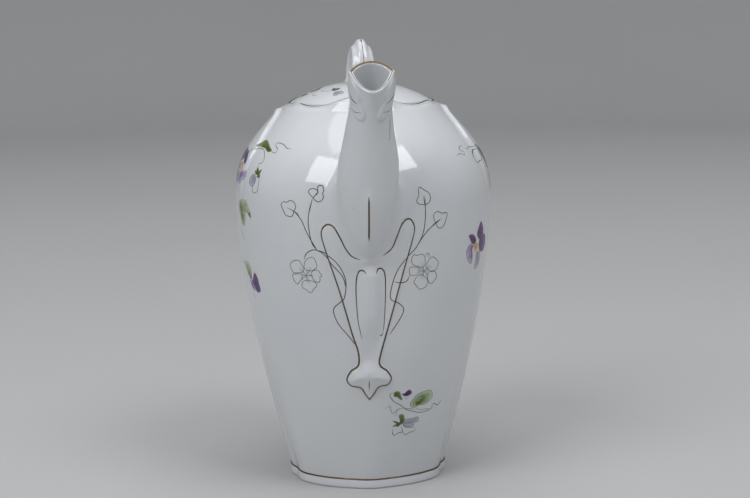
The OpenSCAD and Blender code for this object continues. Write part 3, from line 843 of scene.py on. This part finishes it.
heavy, fine = Coat(), Coat()
for side in (relief_left, relief_right):
    line = on_front(side, 10)
    width = np.interp(np.linspace(0, 1, len(line)), (0, 0.1, 0.55, 0.72, 1), (0.85, 1.05, 1.15, 1.0, 0.6))
    heavy.stroke(line, width, RootOfSpout, ends=(1, 0.3))
hook_left = [(-1.9, 111.9), (-3.1, 113.3), (-5.1, 112.9), (-6.4, 108.7), (-6.6, 100.3), (-5.8, 88.5), (-4.1, 79.5)]
hook_right = [(2.7, 111.8), (3.7, 114.1), (5.7, 113.6), (6.9, 110), (6.9, 100), (6.3, 88.1), (5.6, 82.2)]
for hook in (hook_left, hook_right):
    line = on_front(hook, 10)
    width = np.interp(np.linspace(0, 1, len(line)), (0, 0.08, 0.5, 1), (1.1, 1.0, 0.8, 0.35))
    heavy.stroke(line, width, RootOfSpout)
heavy.stroke(on_front([(5.6, 82.6), (5, 81.1), (4.1, 81.3)], 4), 0.6, PotWall, ends=(0.6, 1))
heavy.stroke(on_front([(-0.9, 59.4), (-1, 56.5), (-1, 53.4)]), 0.6, PotWall)
az = columns(foot_h)
ring = polar(az, body_r(az, foot_h) + foot_out, foot_h - 0.15)
heavy.stroke(np.concatenate([ring, ring[:1]]), 0.75, up=polar(np.append(az, 360), 1.0, 0.35), ends=(1, 1))
brush_down, brush_up = -60, 280
az = np.linspace(brush_down, brush_up, 481)
ring = polar(az, gallery_bore_r + gallery_top_t / 2 + 0.15, scallop_z(az) - 0.02)
heavy.stroke(ring, 1.0, up=polar(az, 0.2, 1.0), ends=(0.2, 0.2))
heavy.piece("gilded_edges", "pot", bright_gold, "gilding")

rim = Coat()
crown = np.concatenate([lip_loops[4], lip_loops[4, :1]])
up = np.broadcast_to((0, -math.sin(lip_slope), math.cos(lip_slope)), crown.shape)
back_share = np.append(1 - forward, 0) / 2
rim.stroke(crown, 0.4 + 0.75 * ease(0.35, 0.7, back_share), up=up, ends=(1, 1), lift=0.05)
rim.piece("gilded_lip", "pot", bright_gold, "gilding")


def spout_stroke(width, *places):
    """A brushed line on the spout through (angle from its front, height) places."""
    skin = np.concatenate([spout_skin, outward(spout_skin)], -1)
    line = []
    for turn, height in smooth_run(places, 8):
        at = turn / 360 * spout_sides % spout_sides
        a, part = int(at), at - int(at)
        run = skin[:, a] * (1 - part) + skin[:, (a + 1) % spout_sides] * part
        line.append(between_places(run, np.interp(-height, -run[:, 2], np.arange(len(run)))))
    line = np.array(line)
    fine.stroke(line[:, :3], width, up=line[:, 3:])


spout_stroke(0.85, (0, 150.5), (0, 143), (0, 136), (0, 129))
for side in (-1, 1):
    spout_stroke(0.6, (side * 36, 193.2), (side * 45, 193.8), (side * 56, 195.2), (side * 68, 197.6))
    spout_stroke(0.34, (side * 27, 189.4), (side * 37, 189.2), (side * 48, 189.6), (side * 60, 191))
spout_stroke(0.42, (66, 187), (62.5, 182), (59, 178.4), (57, 176.4), (51, 176.6))
tendrils = [
    [(-33.8, 141), (-30, 137), (-26.8, 129.5), (-23, 122.7)],
    [(-24.6, 146.7), (-26.4, 138), (-26.2, 131.4), (-25.1, 125.6), (-23, 122.7)],
    [(-23, 122.7), (-18.8, 121), (-13.5, 116), (-10.7, 108.3), (-11.5, 100.3), (-13.5, 97.8), (-16.4, 95.2),
     (-17.1, 92.1), (-15, 86.6), (-10.4, 80.6), (-6.7, 75.4)],
    [(-29.5, 117.5), (-28.3, 120.5), (-25.2, 122.6), (-22.4, 122.3), (-19.7, 120.4), (-16.3, 116), (-12, 110.3),
     (-10.6, 104.3)],
    [(24.7, 147), (24.7, 137), (23.8, 130), (22, 125.5), (19.6, 121.8), (15, 117.3), (11.4, 111.6), (9.2, 103.8),
     (9.2, 98.8), (13, 96.5), (15.5, 93.3), (14, 88.8), (9, 81)],
    [(32.5, 135), (27.3, 131.7), (23.3, 127.3), (20.5, 122.6)],
    [(18, 110), (16.6, 107.2), (14.3, 106.4), (10.5, 107.2)]]
for line in tendrils:
    fine.stroke(wall_spot(*smooth_run(line, 8).T), 0.56, RootOfSpout)
crest = strap_sides * 3 // 4
above_wall = slice(12, -10)
fine.stroke(handle_skin[above_wall, crest], 0.7, up=outward(handle_skin)[above_wall, crest], ends=(0.3, 0.3))
fine.piece("gilded_lines", "pot", line_gold, "gilding")
knob = Coat()
up = turn_lid(outward(finial_skin)[:, crest])
middle = len(path) // 2
for run in (slice(8, middle - 3), slice(middle + 4, -8)):
    width = 0.34 + 0.6 * hump(share[run] - 0.09, 0.05)
    knob.stroke(turn_lid(finial_skin[run, crest]), width, up=up[run], ends=(1, 1))
knob.piece("gilded_finial", "lid", line_gold, "gilding")

# The flowers are painted by hand over the glaze in thin enamels: violets in two purples, leaves in two
# greens, and white blossoms that are only outlined with a pen. Each patch fades as the brush ran dry.
under_paint = (0.66, 0.675, 0.695)
first_coat, next_coat = 0.03, 0.004
outline_lift, stem_lift = 0.09, 0.07
petal_rows, petal_cols = 15, 9


def enamel(name, heart, rim, vein, cover, fade):
    paint = Recipe(name, IOR=1.5)
    uv = paint.node("ShaderNodeTexCoord", output=2)
    along = paint.node("ShaderNodeSeparateXYZ", {}, {0: uv}, output=0)
    across = paint.node("ShaderNodeSeparateXYZ", {}, {0: uv}, output=1)
    wash = paint.clouds(420, 3)
    tone = paint.between(along + (wash - 0.5) * 0.7, 0.1, 0.95)
    streaks = paint.node("ShaderNodeTexNoise", {"noise_dimensions": "2D"}, {
        "Vector": paint.node("ShaderNodeCombineXYZ", {}, {0: along * 1.5, 1: across * 11}), "Scale": 1.0,
        "Detail": 1.0})
    vein_mask = paint.between(streaks, 0.56, 0.68) * (1 - paint.between(along, 0.5, 1))
    coloured = paint.mix(vein_mask * 0.7, paint.mix(tone, heart, rim), vein)
    edge = paint.between(paint.node("ShaderNodeMath", {"operation": "ABSOLUTE"}, {0: across - 0.5}), 0.5, 0.36)
    dry = paint.between(along + (wash - 0.5) * 0.5, 1.05, fade)
    strength = cover * (0.75 + 0.25 * edge) * (0.55 + 0.45 * dry)
    paint.feed("Base Color", paint.mix(strength, under_paint, coloured))
    paint.feed("Roughness", 0.1 + wash * 0.08)
    return paint.material


class Bunch:
    """Painted patches and pen lines on one ground, sorted by colour."""

    def __init__(self, ground):
        self.ground, self.coats, self.pen, self.layer = ground, {}, Coat(), 0

    def patch(self, colour, grid, places, outline=None, pen=0.0):
        """A thin coat of one colour; each lies a little above the last, so that none shines through."""
        self.layer += 1
        lifted = self.ground.lay(grid, first_coat + next_coat * (self.layer % 8))
        self.coats.setdefault(colour, Coat()).add(lifted, places)
        if pen:
            self.pen.stroke(outline, pen, self.ground, ends=(0.6, 0.6), lift=outline_lift)

    def petal(self, colour, base, tip, width, pen=0.0, widest=0.62, point=0.5):
        """A petal or leaf from base to tip; widest is where along it, point makes its end blunt or sharp."""
        base, tip = self.ground.spot(*base), self.ground.spot(*tip)
        ahead = tip - base
        side = np.cross(ahead, self.ground.up((base + tip) / 2))
        side /= np.linalg.norm(side)
        u, v = np.meshgrid(np.linspace(0, 1, petal_rows), np.linspace(-1, 1, petal_cols), indexing="ij")
        rising = 1 - ((u - widest) / widest) ** 2
        falling = np.clip(1 - ((u - widest) / (1 - widest)) ** 2, 0, 1) ** point
        half = width / 2 * np.where(u < widest, rising, falling) * (1 + 0.05 * np.sin(9 * u + width * 5))
        grid = base + u[..., None] * ahead + (half * v)[..., None] * side
        places = np.stack([u, (v + 1) / 2], -1)
        outline = np.concatenate([grid[:, 0], grid[-1, 1:], grid[-2::-1, -1]])
        self.patch(colour, grid, places, outline, pen)

    def shape(self, colour, pen, hub, *places):
        """A patch with a smooth outline through places, darkest at its hub; with no colour it is only outlined."""
        line = self.ground.spot(*smooth_run(places[-1:] + places + places[:2], 5)[5:-5].T)
        if colour:
            hub = self.ground.spot(*(hub or np.mean(places, 0)))
            u = np.linspace(0.02, 1, 9)[:, None]
            places = np.stack(np.broadcast_arrays(u, np.linspace(0.25, 0.75, len(line))), -1)
            self.patch(colour, hub + (line - hub) * u[..., None], places)
        if pen:
            self.pen.stroke(line, pen, self.ground, ends=(0.7, 0.7), lift=outline_lift)

    def outline(self, pen, *places):
        self.shape(None, pen, None, *places)

    def line(self, width, *places, steps=8):
        self.pen.stroke(self.ground.spot(*smooth_run(places, steps).T), width, self.ground, lift=stem_lift)

    def pieces(self, prefix, body):
        for colour, coat in self.coats.items():
            coat.piece(prefix + colour, body, enamels[colour], "enamel")
        self.pen.piece(prefix + "pen_lines", body, pen_brown, "enamel")


enamels = {name: enamel(name, *recipe) for name, *recipe in (
    ("violet_deep", (0.035, 0.006, 0.085), (0.125, 0.035, 0.23), (0.015, 0.003, 0.04), 1.0, 0.9),
    ("violet_pale", (0.17, 0.085, 0.32), (0.46, 0.36, 0.60), (0.07, 0.02, 0.16), 0.95, 0.7),
    ("violet_grey", (0.24, 0.235, 0.33), (0.40, 0.40, 0.49), (0.12, 0.12, 0.19), 0.85, 0.8),
    ("leaf_deep", (0.045, 0.075, 0.006), (0.16, 0.23, 0.045), (0.02, 0.035, 0.005), 1.0, 0.9),
    ("leaf_pale", (0.07, 0.14, 0.015), (0.38, 0.48, 0.24), (0.04, 0.08, 0.01), 0.9, 0.75),
    ("stamen_gold", (0.62, 0.22, 0.02), (0.72, 0.55, 0.26), (0.35, 0.11, 0.01), 0.95, 0.8))}

# White blossoms, buds and leaves at the ends of the gilt tendrils.
front = Bunch(RootOfSpout)
left_blossom = [
    [(-29.5, 113), (-29.5, 116), (-28.5, 117.5), (-27.5, 118.5), (-26, 119), (-24.5, 118.5), (-24, 117), (-23.5, 115),
     (-24.5, 113.5), (-26.5, 112.5)],
    [(-26.5, 111), (-25.5, 112.5), (-23.5, 113), (-22.5, 112), (-21.5, 110.5), (-22.5, 109.5), (-22.5, 108),
     (-23.5, 107), (-25.5, 108)],
    [(-30, 107.5), (-31.5, 106), (-31.5, 104), (-29.5, 103), (-28.5, 102), (-27, 102), (-26, 103.5), (-24.5, 105),
     (-24.5, 106.5), (-26.5, 107.5)],
    [(-32, 111), (-33.5, 110.5), (-36, 110), (-36, 108.5), (-35.5, 107), (-34, 105.5), (-33, 106.5), (-31, 109)],
    [(-31, 111.5), (-33.5, 111), (-35.5, 111), (-36.5, 112.5), (-37, 114.5), (-36, 116), (-34, 117), (-32, 117),
     (-30.5, 114.5), (-30, 113)]]
right_blossom = [
    [(24, 113), (22, 113.5), (19, 115), (18.5, 117.5), (19.5, 119.5), (21, 119), (23, 119.5), (24.5, 118.5),
     (25, 116.5), (25, 114)],
    [(25.5, 113.5), (26.5, 115.5), (27.5, 117), (29, 117.5), (31, 116), (32, 114.5), (31.5, 112.5), (30.5, 111),
     (27.5, 111)],
    [(27, 110), (29.5, 110.5), (31, 109.5), (31.5, 107.5), (30.5, 106), (29, 104.5), (27.5, 105.5), (26.5, 108)],
    [(26, 107.5), (27, 105), (25.5, 103), (23, 102.5), (21.5, 104), (20, 106), (20.5, 107.5), (21.5, 109),
     (23.5, 109.5)],
    [(21.5, 110), (19.5, 109.5), (18, 110), (17.5, 112), (18, 113.5), (20, 113.5), (22.5, 112.5)]]
for centre, petals in (((-29, 110), left_blossom), ((24.8, 111), right_blossom)):
    for petal in petals:
        front.outline(0.34, *petal)
        for share in (0.35, 0.5, 0.65):
            spot = np.array(petal[int(share * len(petal))])
            front.line(0.26, centre, centre + (spot - centre) * (0.4 + 0.2 * share), steps=6)
front.line(0.5, (25.5, 118), (25.5, 119), (26.5, 119.5), (27, 118.5), (26.5, 117.5))
front.outline(0.45, (23, 143), (21, 144), (21, 145.5), (22, 147.5), (22, 149.5), (22.8, 151), (25, 149.5), (27, 148),
              (27.5, 145.5), (26.5, 143.5), (25, 143))
front.outline(0.45, (30, 133.5), (29, 135.5), (29, 138), (31, 139), (33, 138), (35.5, 138), (36, 137), (35.5, 135),
              (34.5, 132.5), (33, 131), (31, 131.5))
front.outline(0.5, (-24, 147.5), (-25.5, 148.5), (-26.5, 150), (-26, 151), (-24.5, 151.5), (-23, 151), (-22, 150),
              (-23, 149))
front.outline(0.6, (-24, 147.5), (-23, 146), (-21.5, 145.5), (-20, 146.5), (-19.5, 148), (-20, 149.5), (-19.5, 150.5),
              (-20, 152.5), (-21, 153), (-22, 152.8), (-22.5, 151.5), (-22.2, 149.5))
front.outline(0.5, (-38.5, 144.8), (-37, 144.5), (-35.5, 145.5), (-33.5, 145), (-32.5, 143.5), (-32.5, 142),
              (-33.5, 140.5), (-33.5, 139.5), (-34.5, 138), (-36, 138), (-37.5, 138.5), (-38.5, 140), (-39.5, 142),
              (-40, 143.5))
front.line(0.42, (24, 147), (24.5, 143.5), (25, 139))
front.line(0.42, (33, 135.5), (30, 134), (27.5, 132))
front.line(0.42, (-37, 142), (-34, 141), (-31.5, 139.5), (-30.5, 137.5))
front.line(0.42, (-24.2, 147.8), (-25, 144.5), (-25.6, 141))

# A spray low on the front, to the right of the ornament's tip: a bud, two leaves and a drooping violet.
front.line(0.42, (13, 51), (11, 50.5), (10.5, 49.5), (11.5, 48), (13.5, 46), (16.5, 44.5), (19.5, 42.5), (22, 41),
           (25.5, 40), (29, 39), (33, 38.5), (37, 39), (39.5, 40), (39.5, 41.5), (41, 42), (42.5, 41), (44.5, 40.8),
           (46, 42), (47, 43))
front.line(0.3, (20, 42), (24, 41.5), (27, 40.5))
front.line(0.3, (27.5, 41.5), (31, 40), (34.5, 40), (38.5, 39.5))
front.line(0.3, (8, 43), (9.5, 43.5), (11, 44), (11.5, 42), (13, 40), (14.5, 41), (16, 42), (19.5, 42))
front.line(0.3, (17, 42), (15.5, 41), (15, 39.5), (15.5, 38))
front.line(0.3, (19, 48), (20.5, 47), (22.5, 48))
front.shape("leaf_deep", 0.22, (14.5, 49.8), (13, 51), (14.5, 51.5), (16, 51), (17, 49), (18, 47), (17, 47),
            (15, 48.5), (13, 49))
front.shape("violet_deep", 0.2, (20, 49.6), (17.5, 50), (19, 50), (21, 51.5), (22.5, 51.5), (23.5, 50), (22.5, 49),
            (20.5, 48.5), (18.5, 49))
front.shape("leaf_pale", 0.32, (29, 44), (28, 42), (25.5, 42), (24, 43), (23.5, 44.5), (24.5, 46), (26.5, 48),
            (28.5, 49), (32, 49.6), (36, 49.6), (38, 47.5), (38, 45.5), (35.5, 43.5), (32, 42.5), (29.5, 43))
front.shape("leaf_deep", 0, (28.5, 44), (27.5, 42.5), (26.5, 45), (28.5, 45), (31, 46.2), (33, 46.2), (32.5, 44.5),
            (30.5, 43))
front.shape("leaf_deep", 0.2, (19.2, 35), (17, 38.5), (19, 39), (20.5, 37.5), (20.5, 34.5), (18.5, 33.5), (17, 32.5),
            (15.5, 33.5), (18, 35), (17.5, 37))
for tip in ((13, 36), (13, 32.8)):
    front.petal("leaf_deep", (18, 34), tip, 1.1, point=1, widest=0.4)
front.shape("violet_grey", 0.26, (22, 34.5), (20.5, 36), (24, 36), (27.5, 36), (29, 36.5), (30.5, 36), (30.5, 34),
            (28, 33.5), (27.5, 32), (22, 32.5), (20, 34))
front.line(0.6, (20, 34), (22, 32), (25, 31.5), (28.5, 31))
front.line(0.42, (19.5, 33), (20, 31), (20.5, 29.5), (17.5, 29), (15, 28), (14, 29), (13.5, 30.5), (14, 31.5))
front.line(0.38, (20.5, 29.5), (23, 27.5), (25.5, 28.5), (29, 29), (29.5, 30.5))

# Down the left side: a violet with a trailing bud, a leaf, and a closed violet with its leaf.
front.shape("violet_deep", 0.3, (-84, 161.5), (-83.5, 166), (-88.5, 164), (-93, 163), (-94, 160.5), (-92, 159),
            (-84, 160), (-78.5, 163))
front.shape("violet_deep", 0.24, (-76.5, 161.5), (-78.5, 165.5), (-75, 163), (-73.5, 161), (-74, 159), (-77.5, 160),
            (-79.5, 162.5))
front.shape("violet_pale", 0.3, (-88, 157.5), (-92, 159), (-95, 156), (-93, 153.5), (-87, 155.5), (-85, 158))
front.shape("violet_pale", 0.26, (-75, 154.5), (-71, 156), (-70.5, 153), (-75, 150), (-78.5, 149.5), (-80, 152.5),
            (-77, 155))
front.shape("violet_pale", 0.28, (-84, 154), (-90.5, 154), (-87, 150.5), (-81.5, 150), (-80, 152), (-82, 154.5))
front.petal("stamen_gold", (-82, 159.5), (-77.5, 155), 4.6, widest=0.5)
front.line(0.4, (-84, 158), (-82.5, 156), (-80, 154.5))
front.line(0.4, (-80, 159.5), (-77, 158.5), (-75, 156.5))
front.shape("leaf_deep", 0.26, (-58.5, 167.2), (-72, 168), (-70, 169.8), (-66.5, 170.8), (-62.5, 169.8), (-58, 168),
            (-55.2, 166.8), (-57.5, 166.2), (-61, 167), (-65.5, 168.8), (-69, 169))
front.line(0.34, (-55, 166.5), (-52, 166), (-51, 167), (-51.5, 168), (-54, 169), (-54.5, 170), (-52.5, 170.5),
           (-48.5, 170), (-47, 169.5), (-44.5, 168.5), (-42, 168.5))
front.line(0.3, (-78, 163), (-74, 165.5), (-71.5, 167.5), (-70, 169.5))
front.line(0.34, (-75.5, 165), (-71, 166.5), (-66.5, 167), (-62.5, 166.5), (-59.5, 164.5), (-58, 162.5), (-58.5, 161),
           (-60.5, 160.5), (-60.5, 159))
front.shape("violet_grey", 0.4, (-61, 154.5), (-61, 155.5), (-63.5, 154.5), (-64.5, 152.5), (-63, 150.5),
            (-60.5, 150), (-59.5, 151.5), (-59.5, 153.5))
front.outline(0.34, (-59, 154.5), (-59, 152), (-60.5, 149.5), (-60, 148), (-58.5, 147), (-56, 148), (-56, 149.5),
              (-56, 152.5), (-57, 155))
for tip, width in (((-60.8, 159), 2.2), ((-56.2, 158.2), 1.6), ((-62, 157.2), 1.5), ((-56, 154.6), 2.2)):
    front.petal("leaf_deep", (-58.6, 155.6), tip, width, point=1, widest=0.4)
front.shape("leaf_pale", 0.26, (-71, 137), (-74, 141.5), (-67, 142.5), (-64, 140.5), (-62, 137), (-66, 137.2),
            (-67, 134), (-68.5, 130), (-71.5, 130.5), (-73, 133), (-74.5, 136), (-75, 139.5))
for tip in ((-69, 130), (-72, 142), (-66.5, 142)):
    front.petal("leaf_deep", (-71.5, 136.5), tip, 2.0, point=1, widest=0.45)
front.petal("leaf_deep", (-66, 141.5), (-61, 134.5), 2.6, pen=0.22, point=0.8, widest=0.5)
front.line(0.24, (-74, 128), (-72, 125), (-70.5, 122.5))
front.shape("leaf_pale", 0.22, (-69, 105.5), (-75.5, 111), (-69.5, 111.5), (-67, 108), (-68, 104.5), (-71.5, 105),
            (-74.5, 109))
front.petal("leaf_deep", (-67.5, 103.2), (-71.5, 107), 2.2, point=0.8, widest=0.4)
front.shape("violet_pale", 0, None, (-70.5, 104), (-68.5, 102.5), (-65, 99), (-67.5, 97.5), (-70.5, 101))
front.shape("violet_deep", 0.24, (-64, 102.5), (-63.5, 107.5), (-61, 105), (-60.5, 102), (-60, 99), (-63, 97.5),
            (-65.5, 99.5), (-68, 102), (-66, 104))
front.line(0.3, (-69.5, 96.5), (-67, 94))

# Down the right side: a white bud on a tendril, two leaves, and a violet.
front.shape("violet_deep", 0.24, (61.5, 123), (62, 130), (65, 126.5), (65.5, 122.5), (62, 121), (58.5, 124),
            (59.5, 127.5))
front.shape("violet_deep", 0.24, (62.5, 120), (68, 123), (70, 119), (68, 115), (63, 115.2), (61, 119), (62.5, 122))
front.shape("violet_deep", 0.24, (56.5, 121), (51, 124.8), (54.5, 124.8), (57.5, 122), (56.5, 120), (53.5, 121),
            (52, 123))
front.shape("violet_pale", 0.4, (54.5, 118.5), (55, 120.2), (52, 120), (50, 117.5), (51, 113.5), (54.5, 110.5),
            (55.3, 113.5), (54.5, 117.5), (56, 119.5))
front.shape("violet_grey", 0.26, (61, 114.5), (59, 115.2), (62.5, 115), (63.5, 111.5), (61.5, 107.5), (58.5, 107.5),
            (59, 111.5))
front.shape("stamen_gold", 0, (58, 119), (55.5, 119.8), (59.5, 120), (60.5, 117.5), (59, 115.5), (57, 116))
front.outline(0.34, (72, 164), (66.5, 162), (65.5, 160), (67.5, 158), (72, 158.5), (74.5, 160.5), (74, 163))
front.line(0.9, (71.5, 164), (67, 162.5), (65.8, 160.5))
front.petal("leaf_deep", (76, 166), (84, 153), 5, pen=0.25, point=1, widest=0.45)
front.petal("leaf_pale", (80, 164), (86, 156), 4, pen=0.2, point=1, widest=0.45)
front.petal("violet_grey", (84, 151), (83, 143.5), 4, pen=0.3)
front.petal("violet_deep", (84.5, 147), (83.5, 143.5), 2)
front.line(0.28, (50, 163), (54, 163.6), (57, 162.6), (57.6, 164.2), (55, 165), (56, 166.2), (60, 167))
front.line(0.28, (61.5, 165.5), (64, 164.8), (67, 165.5), (72, 165.2), (76, 165.8))

# The sides and the back carry the same flowers, scattered singly and in loose sprays round the handle.


def violet(az, z, size=1.0, turn=0.0, pale="violet_pale"):
    """A violet seen from the front: two dark petals above, two pale at the sides and a pale one below."""
    def place(aim, off):
        a = math.radians(aim + turn)
        return az + math.degrees(off * size * math.sin(a) / float(body_r(az, z))), z + off * size * math.cos(a)
    for aim, colour, width in ((-24, "violet_deep", 5.4), (26, "violet_deep", 5.2), (-100, pale, 5), (98, pale, 5.2),
                               (178, pale, 6)):
        front.petal(colour, place(aim, 0.8), place(aim, 8.2), width * size, pen=0.24, widest=0.66, point=0.4)
    front.petal("stamen_gold", place(0, 0.8), place(180, 3.2), 2.6 * size, widest=0.5)


def spray(az, z, way):
    """A violet with two leaves on a curling stem; way is 1 to the right or -1 to the left."""
    violet(az, z, 0.95, 12 * way)
    stem = ((0, -6), (3, -14), (9, -19), (17, -21), (23, -18), (26, -20), (29, -18))
    for width, run in ((0.36, stem), (0.3, ((9, -19), (5, -22), (6, -26), (3, -28)))):
        front.line(width, *[(az + way * a, z + b) for a, b in run])
    for base, tip, width, colour in (
            ((12, -20), (23, -11), 6.5, "leaf_pale"), ((12, -20), (18, -14.5), 3, "leaf_deep"),
            ((6, -17), (-4, -22), 5, "leaf_pale"), ((6, -17), (0, -19.5), 2.4, "leaf_deep")):
        front.petal(colour, (az + way * base[0], z + base[1]), (az + way * tip[0], z + tip[1]), width,
                    pen=0.24 if width > 4 else 0, point=0.8, widest=0.5)


spray(-128, 128, 1)
spray(128, 128, -1)
violet(104, 74, 0.8, -15)
front.petal("leaf_pale", (104, 66), (112, 60), 4.5, pen=0.24, point=0.8)
front.line(0.3, (104, 70), (104.5, 64), (107, 58), (104, 52))
violet(-112, 62, 0.75, 20, "violet_grey")
front.petal("leaf_deep", (-112, 56), (-120, 50), 4, pen=0.24, point=0.8)
front.line(0.3, (-112, 59), (-113, 52), (-110, 46), (-112, 40))
violet(-158, 48, 0.7, -8)
violet(160, 40, 0.75, 10, "violet_grey")
for az, z, way in ((-152, 152, 1), (151, 156, -1), (150, 88, 1), (-146, 84, -1)):
    front.petal("leaf_deep", (az, z), (az + 7 * way, z + 5), 3.6, pen=0.24, point=0.9)
    front.line(0.28, (az, z), (az - 4 * way, z - 3), (az - 6 * way, z - 1), (az - 9 * way, z - 4))

front.pieces("painted_", "pot")

# The lid has a spray on each side of its finial, painted with the same brush.
posy = Bunch(Dome)
for base, tip, width, colour in (((-14.4, -15.8), (-10.8, -13.4), 2.6, "leaf_deep"),
                                 ((-14, -15.6), (-13.6, -11.6), 2, "leaf_deep"),
                                 ((-13.4, -17.4), (-9.6, -21.4), 3.4, "violet_grey"),
                                 ((-13.4, -17.8), (-13, -22.4), 2.4, "violet_grey"),
                                 ((-20.3, -4.8), (-25, -0.6), 3.4, "leaf_deep"),
                                 ((-22.8, -4.6), (-20.6, 0), 2.4, "leaf_pale"),
                                 ((-26.2, -4.6), (-29.4, 0.4), 2.6, "violet_deep"),
                                 ((-19, -2), (-21, 3.4), 2.4, "violet_grey")):
    posy.petal(colour, base, tip, width, pen=0.2, point=0.7)
posy.line(0.3, (-20, -8), (-18.5, -12), (-14.7, -15.2), steps=6)
posy.line(0.3, (-20, -4), (-23, -8), (-24, -12), (-22, -15), steps=6)
for aim in (10, 80, 150, 222, 294):
    a = math.radians(aim)
    near, far = ((15 + off * math.sin(a), 16 + off * math.cos(a)) for off in (1.2, 6.4))
    colour = "violet_deep" if aim in (10, 294) else "violet_pale"
    posy.petal(colour, near, far, 4.2, pen=0.22, widest=0.66, point=0.4)
posy.petal("stamen_gold", (15, 17), (14.4, 14), 2.2, widest=0.5)
posy.petal("leaf_pale", (22, 8), (27, 3), 4, pen=0.24, point=0.8)
posy.petal("leaf_deep", (6, 22), (0, 25), 3.4, pen=0.24, point=0.8)
posy.line(0.3, (20, 13), (22.5, 8), (22, 2), (24.5, -1), steps=6)
posy.line(0.3, (10, 20), (5, 22.5), (-3, 24), (-6, 22), steps=6)
posy.pieces("lid_", "lid")

# Studio: a plain pale table inside a round cove whose wall is painted darker as it rises, as painted shade for the
# dim room round the pot; two large windows of soft light high in front, a wider one overhead, and the camera a
# little above the pot, slightly to the left of the spout.
cove_r, cove_bend, cove_top, cove_sides = 2600, 800, 2600, 96
profile = [(r, 0) for r in (1, 300, 900, cove_r - cove_bend)]
profile += [(cove_r - cove_bend + cove_bend * math.sin(a), cove_bend * (1 - math.cos(a)))
            for a in np.linspace(0.08, math.pi / 2, 20)]
profile += [(cove_r, cove_top)]
grid = lathe(profile, cove_sides)
pale = Recipe("paper_with_painted_shade", Roughness=0.9)
paper = pale.mix(pale.clouds(3, 2), (0.47, 0.47, 0.472), (0.50, 0.50, 0.498))
high = pale.node("ShaderNodeSeparateXYZ", {}, {0: pale.node("ShaderNodeTexCoord", output=3)}, output=2)
# Painted shade: above the table the cove turns from pale paper to dark grey as it rises, standing in for the unlit
# room.
pale.feed("Base Color", pale.mix(pale.between(high, 0.05, 1.5), paper, (0.24, 0.24, 0.245)))
floor_and_cove = grid_faces(*grid.shape[:2]).tolist() + [list(range(cove_sides))]
smooth_object("table_cove", grid.reshape(-1, 3), floor_and_cove, pale.material)


def window(name, place, aim, width, height, watts, colour):
    light = bpy.data.lights.new(name, "AREA")
    light.shape = "RECTANGLE"
    light.size, light.size_y = width, height
    light.energy = watts
    light.color = colour
    lamp = bpy.data.objects.new(name, light)
    lamp.location = place
    lamp.rotation_euler = (Vector(aim) - Vector(place)).to_track_quat("-Z", "Y").to_euler()
    bpy.context.scene.collection.objects.link(lamp)


daylight = (0.97, 0.985, 1)
window("window_left", (-1.2, -1.25, 1.7), (0, 0, 0.12), 1.15, 1.2, 21.6, daylight)
window("window_right", (1.0, -1.0, 1.95), (0, 0, 0.12), 0.95, 0.9, 15.3, daylight)
window("sky_above", (0, 0.1, 2.2), (0, 0, 0.1), 1.8, 1.8, 19.8, (1, 1, 1))

world = bpy.data.worlds.new("studio_air")
world.use_nodes = True
air = world.node_tree.nodes["Background"].inputs
air["Color"].default_value = (0.93, 0.96, 1, 1)
air["Strength"].default_value = 0.27
bpy.context.scene.world = world
bpy.context.scene.view_settings.view_transform = "Standard"

stand_off = 873.0
camera_side = math.radians(-2.5)
camera_z = 259.0
camera_pitch = math.radians(9.5)
camera_aim = math.radians(2.862)
camera_roll = math.radians(1.0)
look = Vector((math.sin(camera_aim) * math.cos(camera_pitch), math.cos(camera_aim) * math.cos(camera_pitch),
               -math.sin(camera_pitch)))
right = look.cross(Vector((0, 0, 1))).normalized()
up = right.cross(look)
tilted_right = right * math.cos(camera_roll) - up * math.sin(camera_roll)
tilted_up = up * math.cos(camera_roll) + right * math.sin(camera_roll)
lens = bpy.data.cameras.new("camera")
lens.sensor_width = 36
lens.lens = 85
camera = bpy.data.objects.new("camera", lens)
stand = Vector((stand_off * math.sin(camera_side), -stand_off * math.cos(camera_side), camera_z)) * MM
camera.matrix_world = Matrix.Translation(stand) @ Matrix((tilted_right, tilted_up, -look)).transposed().to_4x4()
bpy.context.scene.collection.objects.link(camera)
bpy.context.scene.camera = camera
